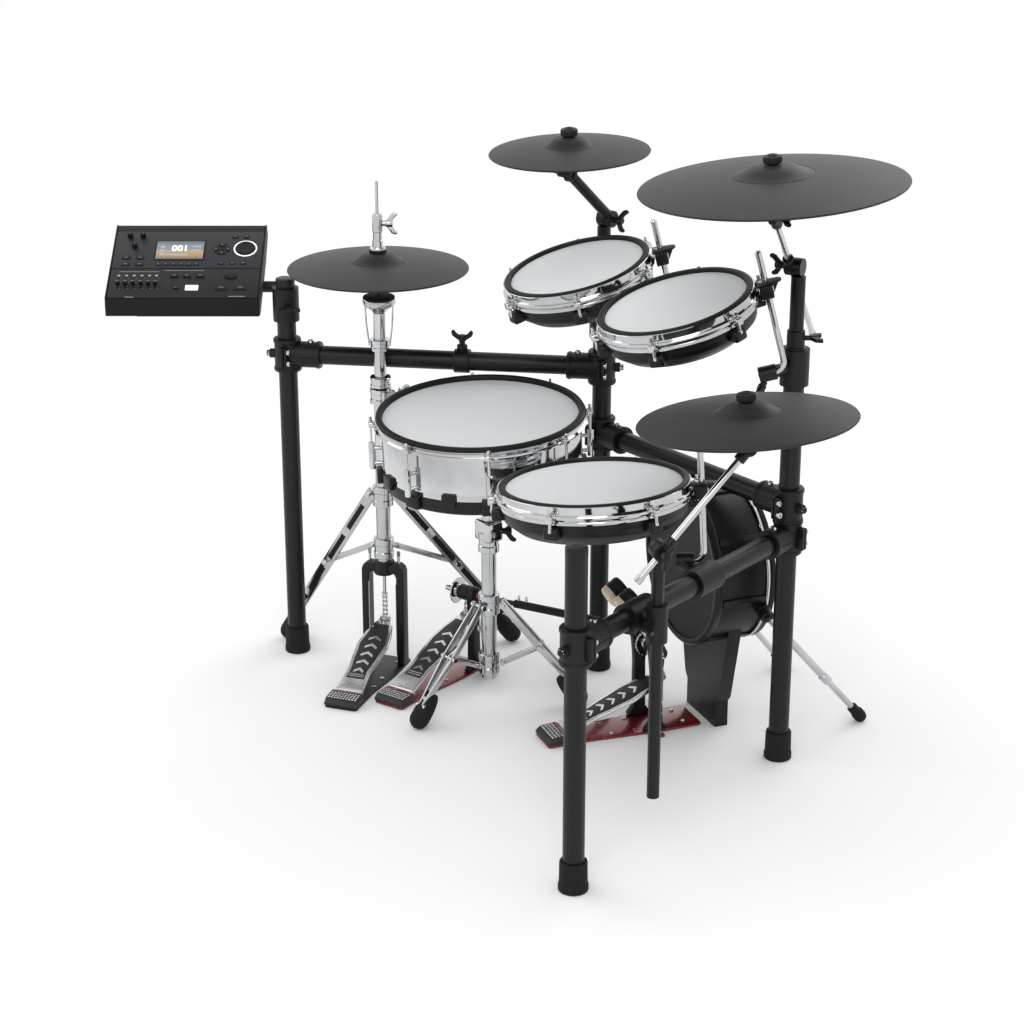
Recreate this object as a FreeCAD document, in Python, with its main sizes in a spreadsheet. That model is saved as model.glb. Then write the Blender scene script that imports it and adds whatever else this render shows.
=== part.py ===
import FreeCAD, Part
import math
import os
import Sketcher

# Electronic drum kit on a four-post tube rack: sound module, three tom pads, snare pad on its own
# stand, kick pad with a twin pedal, hi-hat on its own stand, and three cymbal pads.
# Millimetres, +Z up, +X to the player's right, +Y away from the player, origin on the floor
# under the middle of the kit.

Vector = FreeCAD.Vector
doc = FreeCAD.newDocument("electronic_drum_kit")
sheet = doc.addObject("Spreadsheet::Sheet", "dims")
joints = []
nodes = []


class Size:
    # A number that carries the sheet formula it comes from, so that features can be bound to it.

    def __init__(self, value, text):
        self.value = float(value)
        self.text = text

    def __float__(self):
        return self.value

    def __add__(self, other):
        return Size(self.value + float(other), "(%s + %s)" % (self.text, formula(other)))

    def __radd__(self, other):
        return Size(float(other) + self.value, "(%s + %s)" % (formula(other), self.text))

    def __sub__(self, other):
        return Size(self.value - float(other), "(%s - %s)" % (self.text, formula(other)))

    def __rsub__(self, other):
        return Size(float(other) - self.value, "(%s - %s)" % (formula(other), self.text))

    def __mul__(self, other):
        return Size(self.value * float(other), "(%s * %s)" % (self.text, formula(other)))

    def __rmul__(self, other):
        return Size(float(other) * self.value, "(%s * %s)" % (formula(other), self.text))

    def __truediv__(self, other):
        return Size(self.value / float(other), "(%s / %s)" % (self.text, formula(other)))

    def __neg__(self):
        return Size(-self.value, "(0 - %s)" % self.text)


def formula(number):
    return number.text if isinstance(number, Size) else "(%r)" % float(number)


class Sizes:
    # The named driving dimensions, one row of the sheet each.

    def __init__(self):
        self.row = 0

    def add(self, table):
        for name, value in table.items():
            self.row += 1
            sheet.set("A%d" % self.row, name)
            sheet.set("B%d" % self.row, repr(value))
            sheet.setAlias("B%d" % self.row, name)
            setattr(self, name, Size(value, "dims." + name))
        sheet.recompute()


S = Sizes()


def bind(thing, prop, size):
    if isinstance(size, Size):
        thing.setExpression(prop, size.text)
    setattr(thing, prop, float(size))


def vec(point):
    return Vector(float(point[0]), float(point[1]), float(point[2]))


def frame(origin, z_axis=(0, 0, 1), x_axis=(1, 0, 0)):
    # placement whose local Z runs along z_axis and whose local X is as near x_axis as it can be
    z = vec(z_axis).normalize()
    y = z.cross(vec(x_axis)).normalize()
    return FreeCAD.Placement(vec(origin), FreeCAD.Rotation(y.cross(z), y, z, "ZXY"))


def along(direction):
    # placement at the origin with local Z along the direction
    upright = abs(vec(direction).normalize().z) > 0.9
    return frame((0, 0, 0), direction, (1, 0, 0) if upright else (0, 0, 1))


def moved(piece, placement):
    piece.Placement = placement.multiply(piece.Placement)
    return piece


def cylinder(radius, height, at=(0, 0, 0), axis=(0, 0, 1)):
    piece = doc.addObject("Part::Cylinder", "cylinder")
    bind(piece, "Radius", radius)
    bind(piece, "Height", height)
    piece.Placement = FreeCAD.Placement(vec(at), along(axis).Rotation)
    return piece


def rod(start, end, radius):
    run = vec(end) - vec(start)
    return cylinder(radius, run.Length, start, run)


def cone(low_radius, high_radius, height, at=(0, 0, 0), axis=(0, 0, 1)):
    piece = doc.addObject("Part::Cone", "cone")
    bind(piece, "Radius1", low_radius)
    bind(piece, "Radius2", high_radius)
    bind(piece, "Height", height)
    piece.Placement = FreeCAD.Placement(vec(at), along(axis).Rotation)
    return piece


def ball(radius, at=(0, 0, 0)):
    piece = doc.addObject("Part::Sphere", "ball")
    bind(piece, "Radius", radius)
    piece.Placement.Base = vec(at)
    return piece


def block(length, width, height, at=(0, 0, 0)):
    # box whose middle in X and Y, and whose underside, are at the point given
    piece = doc.addObject("Part::Box", "block")
    bind(piece, "Length", length)
    bind(piece, "Width", width)
    bind(piece, "Height", height)
    piece.Placement.Base = vec(at) - Vector(float(length) / 2, float(width) / 2, 0)
    return piece


def fuse(pieces):
    union = doc.addObject("Part::MultiFuse", "fuse")
    union.Shapes = pieces
    return union


def group(pieces):
    compound = doc.addObject("Part::Compound", "group")
    compound.Links = pieces
    return compound


def cut(base, tools):
    result = doc.addObject("Part::Cut", "cut")
    result.Base = base
    result.Tool = tools[0] if len(tools) == 1 else fuse(tools)
    return result


def node(label, pieces, placement=FreeCAD.Placement()):
    compound = group(pieces)
    compound.Label = label
    compound.Placement = placement
    nodes.append(compound)
    return compound


def sketch_on(body, role):
    plane = [feature for feature in body.Origin.OriginFeatures if feature.Role == role][0]
    sketch = body.newObject("Sketcher::SketchObject", "sketch")
    sketch.AttachmentSupport = [(plane, "")]
    sketch.MapMode = "FlatFace"
    return sketch


def arc_through(start, middle, end):
    # sketches keep arcs counter-clockwise, so a clockwise one is drawn from its far end
    round_arc = Part.Circle(start, middle, end)
    circle = Part.Circle(round_arc.Center, Vector(0, 0, 1), round_arc.Radius)
    if (middle - start).cross(end - middle).z < 0:
        start, end = end, start
    return Part.ArcOfCircle(circle, circle.parameter(start), circle.parameter(end))


def draw(sketch, outline, closed=True):
    # Outline of corner points; a corner written as (middle, end) is reached by an arc.
    ends = [corner[1] if isinstance(corner[0], tuple) else corner for corner in outline]
    corners = [Vector(float(x), float(y), 0) for x, y in ends]
    sides = []
    for index in range(0 if closed else 1, len(outline)):
        start = corners[index - 1]
        if isinstance(outline[index][0], tuple):
            middle = Vector(float(outline[index][0][0]), float(outline[index][0][1]), 0)
            number = sketch.addGeometry(arc_through(start, middle, corners[index]))
        else:
            number = sketch.addGeometry(Part.LineSegment(start, corners[index]))
        side = sketch.Geometry[number]
        if isinstance(outline[index][0], tuple):
            sketch.addConstraint(Sketcher.Constraint("Radius", number, side.Radius))
        turned_back = (side.StartPoint - start).Length > (side.EndPoint - start).Length
        sides.append((2, 1) if turned_back else (1, 2))
        fix(sketch, number, sides[-1][1], ends[index])
    for number in range(0 if closed else 1, len(sides)):
        before = (number - 1) % len(sides)
        link = Sketcher.Constraint("Coincident", before, sides[before][1], number, sides[number][0])
        sketch.addConstraint(link)
    if not closed:
        fix(sketch, 0, sides[0][0], ends[0])
    return len(sides)


def fix(sketch, geometry, position, point):
    for kind, size in zip(("DistanceX", "DistanceY"), point):
        constraint = Sketcher.Constraint(kind, -1, 1, geometry, position, float(size))
        number = sketch.addConstraint(constraint)
        if isinstance(size, Size):
            sketch.setExpression("Constraints[%d]" % number, size.text)


def turned(outline):
    # solid of revolution about Z from an outline of (radius, height) corners
    body = doc.addObject("PartDesign::Body", "turned")
    sketch = sketch_on(body, "XZ_Plane")
    draw(sketch, outline)
    revolution = body.newObject("PartDesign::Revolution", "revolution")
    revolution.Profile = sketch
    revolution.ReferenceAxis = (sketch, ["V_Axis"])
    revolution.Angle = 360
    return body


def ring(inner, outer, low, high):
    return turned([(inner, low), (outer, low), (outer, high), (inner, high)])


def chamfered_ring(inner, outer, low, high, chamfer):
    return turned([(inner, low), (outer, low), (outer, high - chamfer),
                   (outer - chamfer, high), (inner, high)])


def plate(outline, thickness, base=0):
    # flat piece, its outline in local X and Y, from local Z = base upwards
    body = doc.addObject("PartDesign::Body", "plate")
    sketch = sketch_on(body, "XY_Plane")
    draw(sketch, outline)
    pad = body.newObject("PartDesign::Pad", "pad")
    pad.Profile = sketch
    bind(pad, "Length", thickness)
    body.Placement.Base = Vector(0, 0, float(base))
    return body


def bent_rod(radius, rise, reach, bend):
    # round rod that starts at the origin, rises along Z, then turns to run along X
    body = doc.addObject("PartDesign::Body", "bent_rod")
    spine = sketch_on(body, "XZ_Plane")
    middle = (bend * (1 - math.sqrt(0.5)), rise - bend * (1 - math.sqrt(0.5)))
    path = [(0, 0), (0, rise - bend), (middle, (bend, rise)), (reach, rise)]
    draw(spine, path, closed=False)
    section = sketch_on(body, "XY_Plane")
    circle = section.addGeometry(Part.Circle(Vector(0, 0, 0), Vector(0, 0, 1), float(radius)))
    section.addConstraint(Sketcher.Constraint("Coincident", circle, 3, -1, 1))
    width = section.addConstraint(Sketcher.Constraint("Radius", circle, float(radius)))
    section.setExpression("Constraints[%d]" % width, radius.text)
    doc.recompute()
    pipe = body.newObject("PartDesign::AdditivePipe", "pipe")
    pipe.Profile = section
    pipe.Spine = (spine, ["Edge1", "Edge2", "Edge3"])
    return body


def hinge(name, point, axis):
    joints.append((name, "hinge", vec(point), vec(axis).normalize()))


def slide(name, axis):
    joints.append((name, "slide", Vector(0, 0, 0), vec(axis).normalize()))


# Fits and small shared sizes
fit_sizes = {
    "fit_gap": 0.2,
    "running_gap": 0.05,
    "seat_gap": 0.3,
    "cut_overrun": 5.0,
}
S.add(fit_sizes)

# Rack posts, bars, feet and clamps
rack_sizes = {
    "pipe_d": 36.0,
    "pipe_wall": 1.6,
    "cap_chamfer": 2.5,
    "left_post_x": -468.0,
    "left_post_y": -225.0,
    "left_post_top": 742.0,
    "middle_post_x": -31.0,
    "middle_post_y": 192.0,
    "middle_post_top": 745.0,
    "right_post_x": 472.0,
    "right_post_y": 192.0,
    "right_post_top": 773.0,
    "rear_post_x": 611.0,
    "rear_post_y": -404.0,
    "rear_post_top": 597.0,
    "left_bar_z": 617.0,
    "front_bar_z": 487.0,
    "right_bar_z": 430.0,
    "foot_low_d": 50.0,
    "foot_high_d": 46.0,
    "foot_height": 53.0,
    "foot_sole": 13.0,
    "foot_round": 4.0,
    "clamp_wall": 7.0,
    "clamp_height": 64.0,
    "clamp_reach": 66.0,
    "clamp_boss_d": 18.0,
    "clamp_boss_reach": 34.0,
    "bolt_head_d": 12.0,
    "bolt_head_height": 6.0,
}
S.add(rack_sizes)
pipe_r = S.pipe_d / 2
sleeve_r = pipe_r + S.clamp_wall
posts = {
    "left": (S.left_post_x, S.left_post_y, S.left_post_top),
    "middle": (S.middle_post_x, S.middle_post_y, S.middle_post_top),
    "right": (S.right_post_x, S.right_post_y, S.right_post_top),
    "rear": (S.rear_post_x, S.rear_post_y, S.rear_post_top),
}
bars = [("left", "middle", S.left_bar_z), ("middle", "right", S.front_bar_z),
        ("right", "rear", S.right_bar_z)]


def heading(start, end):
    # level unit vector from one plan position to another
    run = Vector(float(end[0]) - float(start[0]), float(end[1]) - float(start[1]), 0)
    return run.normalize()


def capped_tube(radius, low, high, wall, chamfer):
    # upright tube, open below, with a chamfered cap
    inside = radius - wall
    return turned([(inside, low), (radius, low), (radius, high - chamfer), (radius - chamfer, high),
                   (0, high), (0, high - wall), (inside, high - wall)])


def open_tube(start, end, radius, wall):
    run = vec(end) - vec(start)
    return cut(rod(start, end, radius), [rod(vec(start) - run, vec(end) + run, radius - wall)])


def tee_clamp(at, direction, bar_radius, reach):
    # casting with an upright sleeve round a post and a level sleeve round a bar
    direction = vec(direction).normalize()
    half = S.clamp_height / 2
    solid = fuse([
        cylinder(sleeve_r, S.clamp_height, (0, 0, -half)),
        cylinder(bar_radius + S.clamp_wall, reach, (0, 0, 0), direction),
        cylinder(S.clamp_boss_d / 2, S.clamp_boss_reach, (0, 0, 0), -direction),
    ])
    long_bore = S.clamp_height + S.cut_overrun
    casting = cut(solid, [
        cylinder(pipe_r + S.fit_gap, long_bore, (0, 0, -long_bore / 2)),
        cylinder(bar_radius + S.fit_gap, reach + S.cut_overrun, (0, 0, 0), direction),
    ])
    return moved(casting, frame(at))


def bolt_head(at, direction):
    head = doc.addObject("Part::Prism", "bolt_head")
    head.Polygon = 6
    bind(head, "Circumradius", S.bolt_head_d / 2)
    bind(head, "Height", S.bolt_head_height)
    head.Placement = FreeCAD.Placement(vec(at), along(direction).Rotation)
    return head


tubes = []
feet = []
for x, y, top in posts.values():
    tube = capped_tube(pipe_r, S.foot_sole, top, S.pipe_wall, S.cap_chamfer)
    tubes.append(moved(tube, frame((x, y, 0))))
    bore = pipe_r + S.fit_gap
    foot = turned([(0, 0), (S.foot_low_d / 2 - S.foot_round, 0), (S.foot_low_d / 2, S.foot_round),
                   (S.foot_high_d / 2, S.foot_height), (bore, S.foot_height), (bore, S.foot_sole),
                   (0, S.foot_sole)])
    feet.append(moved(foot, frame((x, y, 0))))
node("rack_uprights", tubes)

crossbars = []
clamps = []
bolts = []
bar_start = pipe_r + S.fit_gap * 2
for first, last, z in bars:
    ends = [Vector(float(posts[name][0]), float(posts[name][1]), float(z)) for name in (first, last)]
    run = heading(ends[0], ends[1])
    inset = run * float(bar_start)
    crossbars.append(open_tube(ends[0] + inset, ends[1] - inset, pipe_r, S.pipe_wall))
    for point, direction in ((ends[0], run), (ends[1], -run)):
        clamps.append(tee_clamp(point, direction, pipe_r, S.clamp_reach))
        bolts.append(bolt_head(point - direction * float(S.clamp_boss_reach), -direction))
node("rack_crossbars", crossbars)

# Wing bolts
wing_sizes = {
    "wing_span": 21.0,
    "wing_height": 20.0,
    "wing_thick": 6.0,
    "wing_shank_d": 9.0,
    "wing_shank": 9.0,
}
S.add(wing_sizes)
wing_shares = [(-0.25, 0), (0.25, 0), (0.9, 0.4), (1, 1), (0.65, 1), (0.3, 0.55),
               (-0.3, 0.55), (-0.65, 1), (-1, 1), (-0.9, 0.4)]


def wing_bolt(at, direction, roll=0):
    outline = [(S.wing_span * across, S.wing_height * up) for across, up in wing_shares]
    wings = plate(outline, S.wing_thick, -S.wing_thick / 2)
    upright = FreeCAD.Placement(Vector(0, 0, float(S.wing_shank)), FreeCAD.Rotation(Vector(1, 0, 0), 90))
    moved(wings, upright)
    bolt = fuse([wings, cylinder(S.wing_shank_d / 2, S.wing_shank + S.wing_height / 2)])
    turn = FreeCAD.Placement(Vector(0, 0, 0), FreeCAD.Rotation(Vector(0, 0, 1), roll))
    return moved(bolt, FreeCAD.Placement(vec(at), along(direction).Rotation).multiply(turn))


# Cymbal pads, their pipes and their tilters
cymbal_sizes = {
    "stem_pipe_d": 25.0,
    "collar_height": 30.0,
    "knuckle_d": 31.0,
    "knuckle_width": 15.0,
    "stem_d": 8.0,
    "boom_d": 11.0,
    "seat_ball_d": 18.0,
    "felt_d": 26.0,
    "felt_height": 10.0,
    "nut_d": 30.0,
    "nut_height": 24.0,
    "rock_gap": 2.8,
    "cymbal_thick": 5.0,
    "cymbal_edge": 4.0,
    "bell_rise": 13.0,
    "bell_flat": 12.0,
    "crash_left_d": 290.0,
    "crash_left_x": -9.0,
    "crash_left_y": 90.0,
    "crash_left_rise": 138.0,
    "crash_left_pivot_z": 902.0,
    "crash_left_stem": 66.0,
    "ride_d": 440.0,
    "ride_x": 520.0,
    "ride_y": 77.0,
    "ride_z": 1073.0,
    "ride_pivot_z": 911.0,
    "ride_stem": 84.0,
    "ride_tail": 255.0,
    "crash_right_d": 350.0,
    "crash_right_x": 674.0,
    "crash_right_y": -112.0,
    "crash_right_z": 754.0,
    "crash_right_pivot_z": 556.0,
    "crash_right_stem": 72.0,
    "crash_right_tail": 60.0,
    "crash_post_x": 622.0,
    "crash_post_y": -245.0,
    "crash_post_low": 121.0,
    "crash_post_d": 21.0,
}
S.add(cymbal_sizes)
cone_share = 0.05
bell_share = 0.23
crash_left_tilt = (-0.001, -0.048, 0.999)
ride_tilt = (-0.036, -0.067, 0.997)
crash_right_tilt = (-0.099, -0.027, 0.995)
ball_r = S.seat_ball_d / 2
knuckle_r = S.knuckle_d / 2


def pivot_height(diameter):
    # height of the rocking point above the plane of the cymbal's edge
    return diameter * cone_share + S.bell_rise - S.cymbal_thick / 2


def cymbal(diameter):
    # thin cone with a raised bell, drawn about the plane of its edge
    edge_r = diameter / 2
    bell_r = diameter / 2 * bell_share
    low = diameter * cone_share
    top = low + S.bell_rise
    hole = ball_r + S.seat_gap
    flat = hole + S.bell_flat
    half = S.bell_rise / 2
    mid_r = (flat + bell_r) / 2
    thick = S.cymbal_thick
    lip = S.cymbal_edge / 2
    upper = (mid_r + half * 0.25, low + half * 1.25)
    lower = (mid_r + half * 0.25, low + half * 1.25 - thick)
    return turned([
        (hole, top - thick), (hole, top), (flat, top), (upper, (bell_r, low)), (edge_r - lip, lip),
        (edge_r, 0), (edge_r - lip, -lip), (bell_r, low - thick), (lower, (flat, top - thick)),
    ])


def seat(pivot, stem):
    # stem with its ball, the felt under the cymbal and the nut above it
    reach = S.cymbal_thick / 2 + S.rock_gap
    solid = fuse([
        cylinder(S.stem_d / 2, stem + reach + S.nut_height, (0, 0, pivot - stem)),
        ball(ball_r, (0, 0, pivot)),
        cone(S.felt_d / 3, S.felt_d / 2, S.felt_height, (0, 0, pivot - reach - S.felt_height)),
        cylinder(S.nut_d / 2, S.nut_height, (0, 0, pivot + reach)),
    ])
    return solid


def cymbal_stand(name, boom_name, diameter, centre, tilt, stem, post, pivot_z, side, tail):
    # cymbal on a tilter whose lower knuckle turns on the head of its post
    place = frame(centre, tilt)
    pivot = pivot_height(diameter)
    node(name, [cymbal(diameter)], place)
    hinge(name + "_rock", place.multVec(Vector(0, 0, float(pivot))), (0, 1, 0))
    bottom = place.multVec(Vector(0, 0, float(pivot - stem)))
    head = Vector(float(post[0]), float(post[1]), float(pivot_z))
    reach = heading(head, bottom)
    axis = Vector(reach.y, -reach.x, 0) * side
    half = S.knuckle_width / 2
    near = head + axis * float(half + S.seat_gap)
    middle = near + axis * float(half)
    run = (bottom - middle).normalize()
    boom = fuse([
        cylinder(knuckle_r, S.knuckle_width, near, axis),
        rod(middle - run * float(tail), bottom, S.boom_d / 2),
        cylinder(knuckle_r * 0.8, S.knuckle_width, bottom - axis * float(half), axis),
        moved(seat(pivot, stem), place),
    ])
    lower = wing_bolt(near + axis * float(S.knuckle_width), axis)
    upper = wing_bolt(bottom - axis * float(half), -axis)
    node(boom_name, [boom, lower, upper])
    hinge(boom_name + "_tilt", head, axis)
    return cylinder(knuckle_r, S.knuckle_width, head - axis * float(half), axis)


def bar_point(first, last, z, y):
    # point of a crossbar's axis at the given Y
    start, end = posts[first], posts[last]
    share = (float(y) - float(start[1])) / (float(end[1]) - float(start[1]))
    x = float(start[0]) + share * (float(end[0]) - float(start[0]))
    return Vector(x, float(y), float(z))


def stem_tube(radius, low, high):
    inside = radius - S.pipe_wall
    return turned([(inside, low), (radius, low), (radius, high), (0, high), (0, high - S.pipe_wall),
                   (inside, high - S.pipe_wall)])


pipes = []
stem_r = S.stem_pipe_d / 2
crash_left_at = (S.crash_left_x, S.crash_left_y, S.crash_left_pivot_z + S.crash_left_rise)
ride_at = (S.ride_x, S.ride_y, S.ride_z)
crash_right_at = (S.crash_right_x, S.crash_right_y, S.crash_right_z)
crash_post = (S.crash_post_x, S.crash_post_y)
stands = [
    ("crash_left_cymbal", "crash_left_tilter", S.crash_left_d, crash_left_at, crash_left_tilt,
     S.crash_left_stem, posts["middle"], S.crash_left_pivot_z, -1, 0),
    ("ride_cymbal", "ride_boom", S.ride_d, ride_at, ride_tilt,
     S.ride_stem, posts["right"], S.ride_pivot_z, 1, S.ride_tail),
    ("crash_right_cymbal", "crash_right_boom", S.crash_right_d, crash_right_at, crash_right_tilt,
     S.crash_right_stem, crash_post, S.crash_right_pivot_z, 1, S.crash_right_tail),
]
for stand in stands:
    pipes.append(cymbal_stand(*stand))
for name, pivot_z in (("middle", S.crash_left_pivot_z), ("right", S.ride_pivot_z)):
    x, y, top = posts[name]
    low = top
    high = pivot_z - knuckle_r
    pipe = stem_tube(stem_r, low, high)
    pipes.append(moved(pipe, frame((x, y, 0))))
    collar = chamfered_ring(stem_r + S.fit_gap, pipe_r - S.cap_chamfer, top, top + S.collar_height, S.cap_chamfer)
    clamps.append(moved(collar, frame((x, y, 0))))
    side = Vector(0.65, 0.76, 0)
    bolts.append(wing_bolt(Vector(float(x), float(y), float(top + S.collar_height / 2))
                           + side * float(pipe_r - S.cap_chamfer), side, 90))
crash_r = S.crash_post_d / 2
crash_tube = stem_tube(crash_r, S.crash_post_low, S.crash_right_pivot_z - knuckle_r)
pipes.append(moved(crash_tube, frame((*crash_post, 0))))
node("cymbal_pipes", pipes)

# clamp that holds the right crash post beside the right bar
crash_bar = bar_point("right", "rear", S.right_bar_z, S.crash_post_y)
bar_run = heading(posts["right"], posts["rear"])
half_clamp = S.clamp_height / 2
crash_axis = Vector(float(S.crash_post_x), float(S.crash_post_y), float(S.right_bar_z))
arm = cut(
    fuse([
        cylinder(sleeve_r, S.clamp_height, crash_bar - bar_run * float(half_clamp), bar_run),
        rod(crash_bar, crash_axis, crash_r + S.clamp_wall),
        cylinder(crash_r + S.clamp_wall, S.clamp_height, crash_axis - Vector(0, 0, float(half_clamp))),
    ]),
    [
        cylinder(pipe_r + S.fit_gap, S.clamp_height * 2, crash_bar - bar_run * float(S.clamp_height), bar_run),
        cylinder(crash_r + S.fit_gap, S.clamp_height * 2, crash_axis - Vector(0, 0, float(S.clamp_height))),
    ])
clamps.append(arm)
bolts.append(wing_bolt(crash_axis + bar_run * float(crash_r + S.clamp_wall), bar_run, 90))

# Tom pads
tom_sizes = {
    "tom_d": 270.0,
    "floor_tom_d": 325.0,
    "rim_width": 14.0,
    "rim_height": 8.0,
    "head_thick": 2.0,
    "head_drop": 2.5,
    "hoop_height": 26.0,
    "hoop_wall": 10.0,
    "hoop_ledge": 4.0,
    "hoop_ledge_height": 7.0,
    "tom_depth": 90.0,
    "tom_waist": 62.0,
    "tom_bevel": 22.0,
    "shell_inset": 6.0,
    "shell_wall": 4.0,
    "lug_length": 14.0,
    "lug_width": 15.0,
    "lug_height": 13.0,
    "lug_screw_d": 6.5,
    "lug_screw": 42.0,
    "rod_d": 11.0,
    "rod_bend": 14.0,
    "rod_above": 46.0,
    "rod_foot": 34.0,
    "rod_offset": 13.0,
    "bracket_width": 34.0,
    "bracket_height": 24.0,
    "socket_d": 27.0,
    "socket_length": 30.0,
    "socket_hold": 18.0,
    "arm_d": 22.0,
    "tom_left_x": 57.0,
    "tom_left_y": 52.0,
    "tom_left_z": 854.0,
    "tom_left_drop": 182.0,
    "tom_right_x": 381.0,
    "tom_right_y": -5.0,
    "tom_right_z": 869.0,
    "tom_right_drop": 168.0,
    "floor_tom_x": 366.0,
    "floor_tom_y": -163.0,
    "floor_tom_z": 581.0,
    "floor_tom_drop": 142.0,
}
S.add(tom_sizes)
lug_count = 6
rod_r = S.rod_d / 2


def rim_ring(radius):
    inner = radius - S.rim_width
    crown = S.rim_height / 2
    return turned([(inner, -S.rim_height), (radius, -S.rim_height), (radius, -crown),
                   ((radius - crown * 0.3, -crown * 0.3), (radius - crown, 0)), (inner + crown / 2, 0),
                   (inner, -crown / 2)])


def drum_head(radius):
    reach = radius - S.rim_width
    return cylinder(reach, S.head_thick, (0, 0, -S.head_drop - S.head_thick))


def drum_hoop(radius):
    # chrome hoop in two tiers with a ledge between them that the lugs pull on
    top = -S.rim_height
    low = top - S.hoop_height
    mid = (top + low) / 2
    inner = radius - S.hoop_wall
    ledge = S.hoop_ledge_height / 2
    return turned([(inner, low), (radius - S.hoop_ledge / 2, low), (radius - S.hoop_ledge / 2, mid - ledge),
                   (radius + S.hoop_ledge, mid - ledge), (radius + S.hoop_ledge, mid + ledge),
                   (radius, mid + ledge), (radius, top), (inner, top)])


def tom_shell(radius):
    top = -S.rim_height - S.hoop_height
    outer = radius - S.shell_inset
    foot = outer - S.tom_bevel
    wall = S.shell_wall
    return turned([(0, -S.tom_depth), (foot, -S.tom_depth), (outer, -S.tom_waist), (outer, top),
                   (outer - wall, top), (outer - wall, -S.tom_waist), (foot - wall, wall - S.tom_depth),
                   (0, wall - S.tom_depth)])


def turn_about_z(piece, degrees):
    return moved(piece, FreeCAD.Placement(Vector(0, 0, 0), FreeCAD.Rotation(Vector(0, 0, 1), degrees)))


def lug(radius):
    # claw on the hoop's ledge with its tension screw
    mid = -S.rim_height - S.hoop_height / 2
    at = radius + S.hoop_ledge + S.lug_length / 2
    claw = block(S.lug_length, S.lug_width, S.lug_height, (at, 0, mid - S.lug_height / 2))
    screw = cylinder(S.lug_screw_d / 2, S.lug_screw, (at, 0, mid - S.lug_screw * 0.6))
    return fuse([claw, screw])


def tom(name, diameter, centre, tilt, side, drop):
    radius = diameter / 2
    place = frame(centre, tilt, side)
    node(name + "_shell", [tom_shell(radius), rim_ring(radius)], place)
    node(name + "_head", [drum_head(radius)], place)
    offset = radius + S.hoop_ledge + S.rod_offset
    mid = -S.rim_height - S.hoop_height / 2
    hanger = bent_rod(rod_r, S.rod_above + drop, S.rod_foot, S.rod_bend)
    moved(hanger, frame((offset, 0, S.rod_above), (0, 0, -1), (-1, 0, 0)))
    wide = S.rod_offset + S.rod_d
    bracket = block(wide, S.bracket_width, S.bracket_height,
                    (radius + S.hoop_ledge + wide / 2, 0, mid - S.bracket_height / 2))
    lugs = [turn_about_z(lug(radius), 360 / lug_count * (number + 0.5)) for number in range(lug_count)]
    node(name + "_hoop", [drum_hoop(radius), fuse([hanger, bracket]), *lugs], place)
    end = place.multVec(Vector(float(offset - S.rod_foot), 0, -float(drop)))
    axis = place.Rotation.multVec(Vector(1, 0, 0))
    hinge(name + "_tilt", end, axis)
    return end, axis


def socket(end, axis, holder, bores):
    # cup on a holder that grips the level end of a tom's rod
    mouth = end + axis * float(S.socket_hold)
    cup = rod(mouth - axis * float(S.socket_length), mouth, S.socket_d / 2)
    bore = rod(end - axis * float(S.seat_gap), mouth + axis * float(S.cut_overrun), rod_r + S.running_gap)
    return cut(fuse([cup, *holder]), [bore, *bores])


def post_socket(end, axis, post):
    # socket carried by an arm from a sleeve round a post
    at = Vector(float(post[0]), float(post[1]), end.z)
    back = end - axis * float(S.socket_length - S.socket_hold) / 2
    low = at - Vector(0, 0, float(half_clamp))
    holder = [cylinder(sleeve_r, S.clamp_height, low), rod(at, back, S.arm_d / 2)]
    bore = cylinder(pipe_r + S.fit_gap, S.clamp_height * 2, low - Vector(0, 0, float(half_clamp)))
    return socket(end, axis, holder, [bore])


def bar_socket(end, axis, on_bar):
    # socket that stands on a sleeve round a crossbar
    low = on_bar - bar_run * float(half_clamp)
    back = end - axis * float(S.socket_length - S.socket_hold) / 2
    holder = [cylinder(sleeve_r, S.clamp_height, low, bar_run), rod(on_bar, back, S.arm_d / 2)]
    bore = cylinder(pipe_r + S.fit_gap, S.clamp_height * 2, low - bar_run * float(half_clamp), bar_run)
    return socket(end, axis, holder, [bore])


rod_side = (0.6486, 0.7612, 0)
floor_side = (0.73, 0.68, 0)
tom_left_at = (S.tom_left_x, S.tom_left_y, S.tom_left_z)
tom_right_at = (S.tom_right_x, S.tom_right_y, S.tom_right_z)
floor_tom_at = (S.floor_tom_x, S.floor_tom_y, S.floor_tom_z)
end, axis = tom("tom_left", S.tom_d, tom_left_at, (-0.082, -0.252, 0.964), rod_side, S.tom_left_drop)
clamps.append(post_socket(end, axis, posts["middle"]))
end, axis = tom("tom_right", S.tom_d, tom_right_at, (-0.095, -0.258, 0.961), rod_side, S.tom_right_drop)
clamps.append(post_socket(end, axis, posts["right"]))
end, axis = tom("floor_tom", S.floor_tom_d, floor_tom_at, (-0.103, 0.006, 0.995), floor_side, S.floor_tom_drop)
clamps.append(bar_socket(end, axis, bar_point("right", "rear", S.right_bar_z, end.y)))

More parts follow.
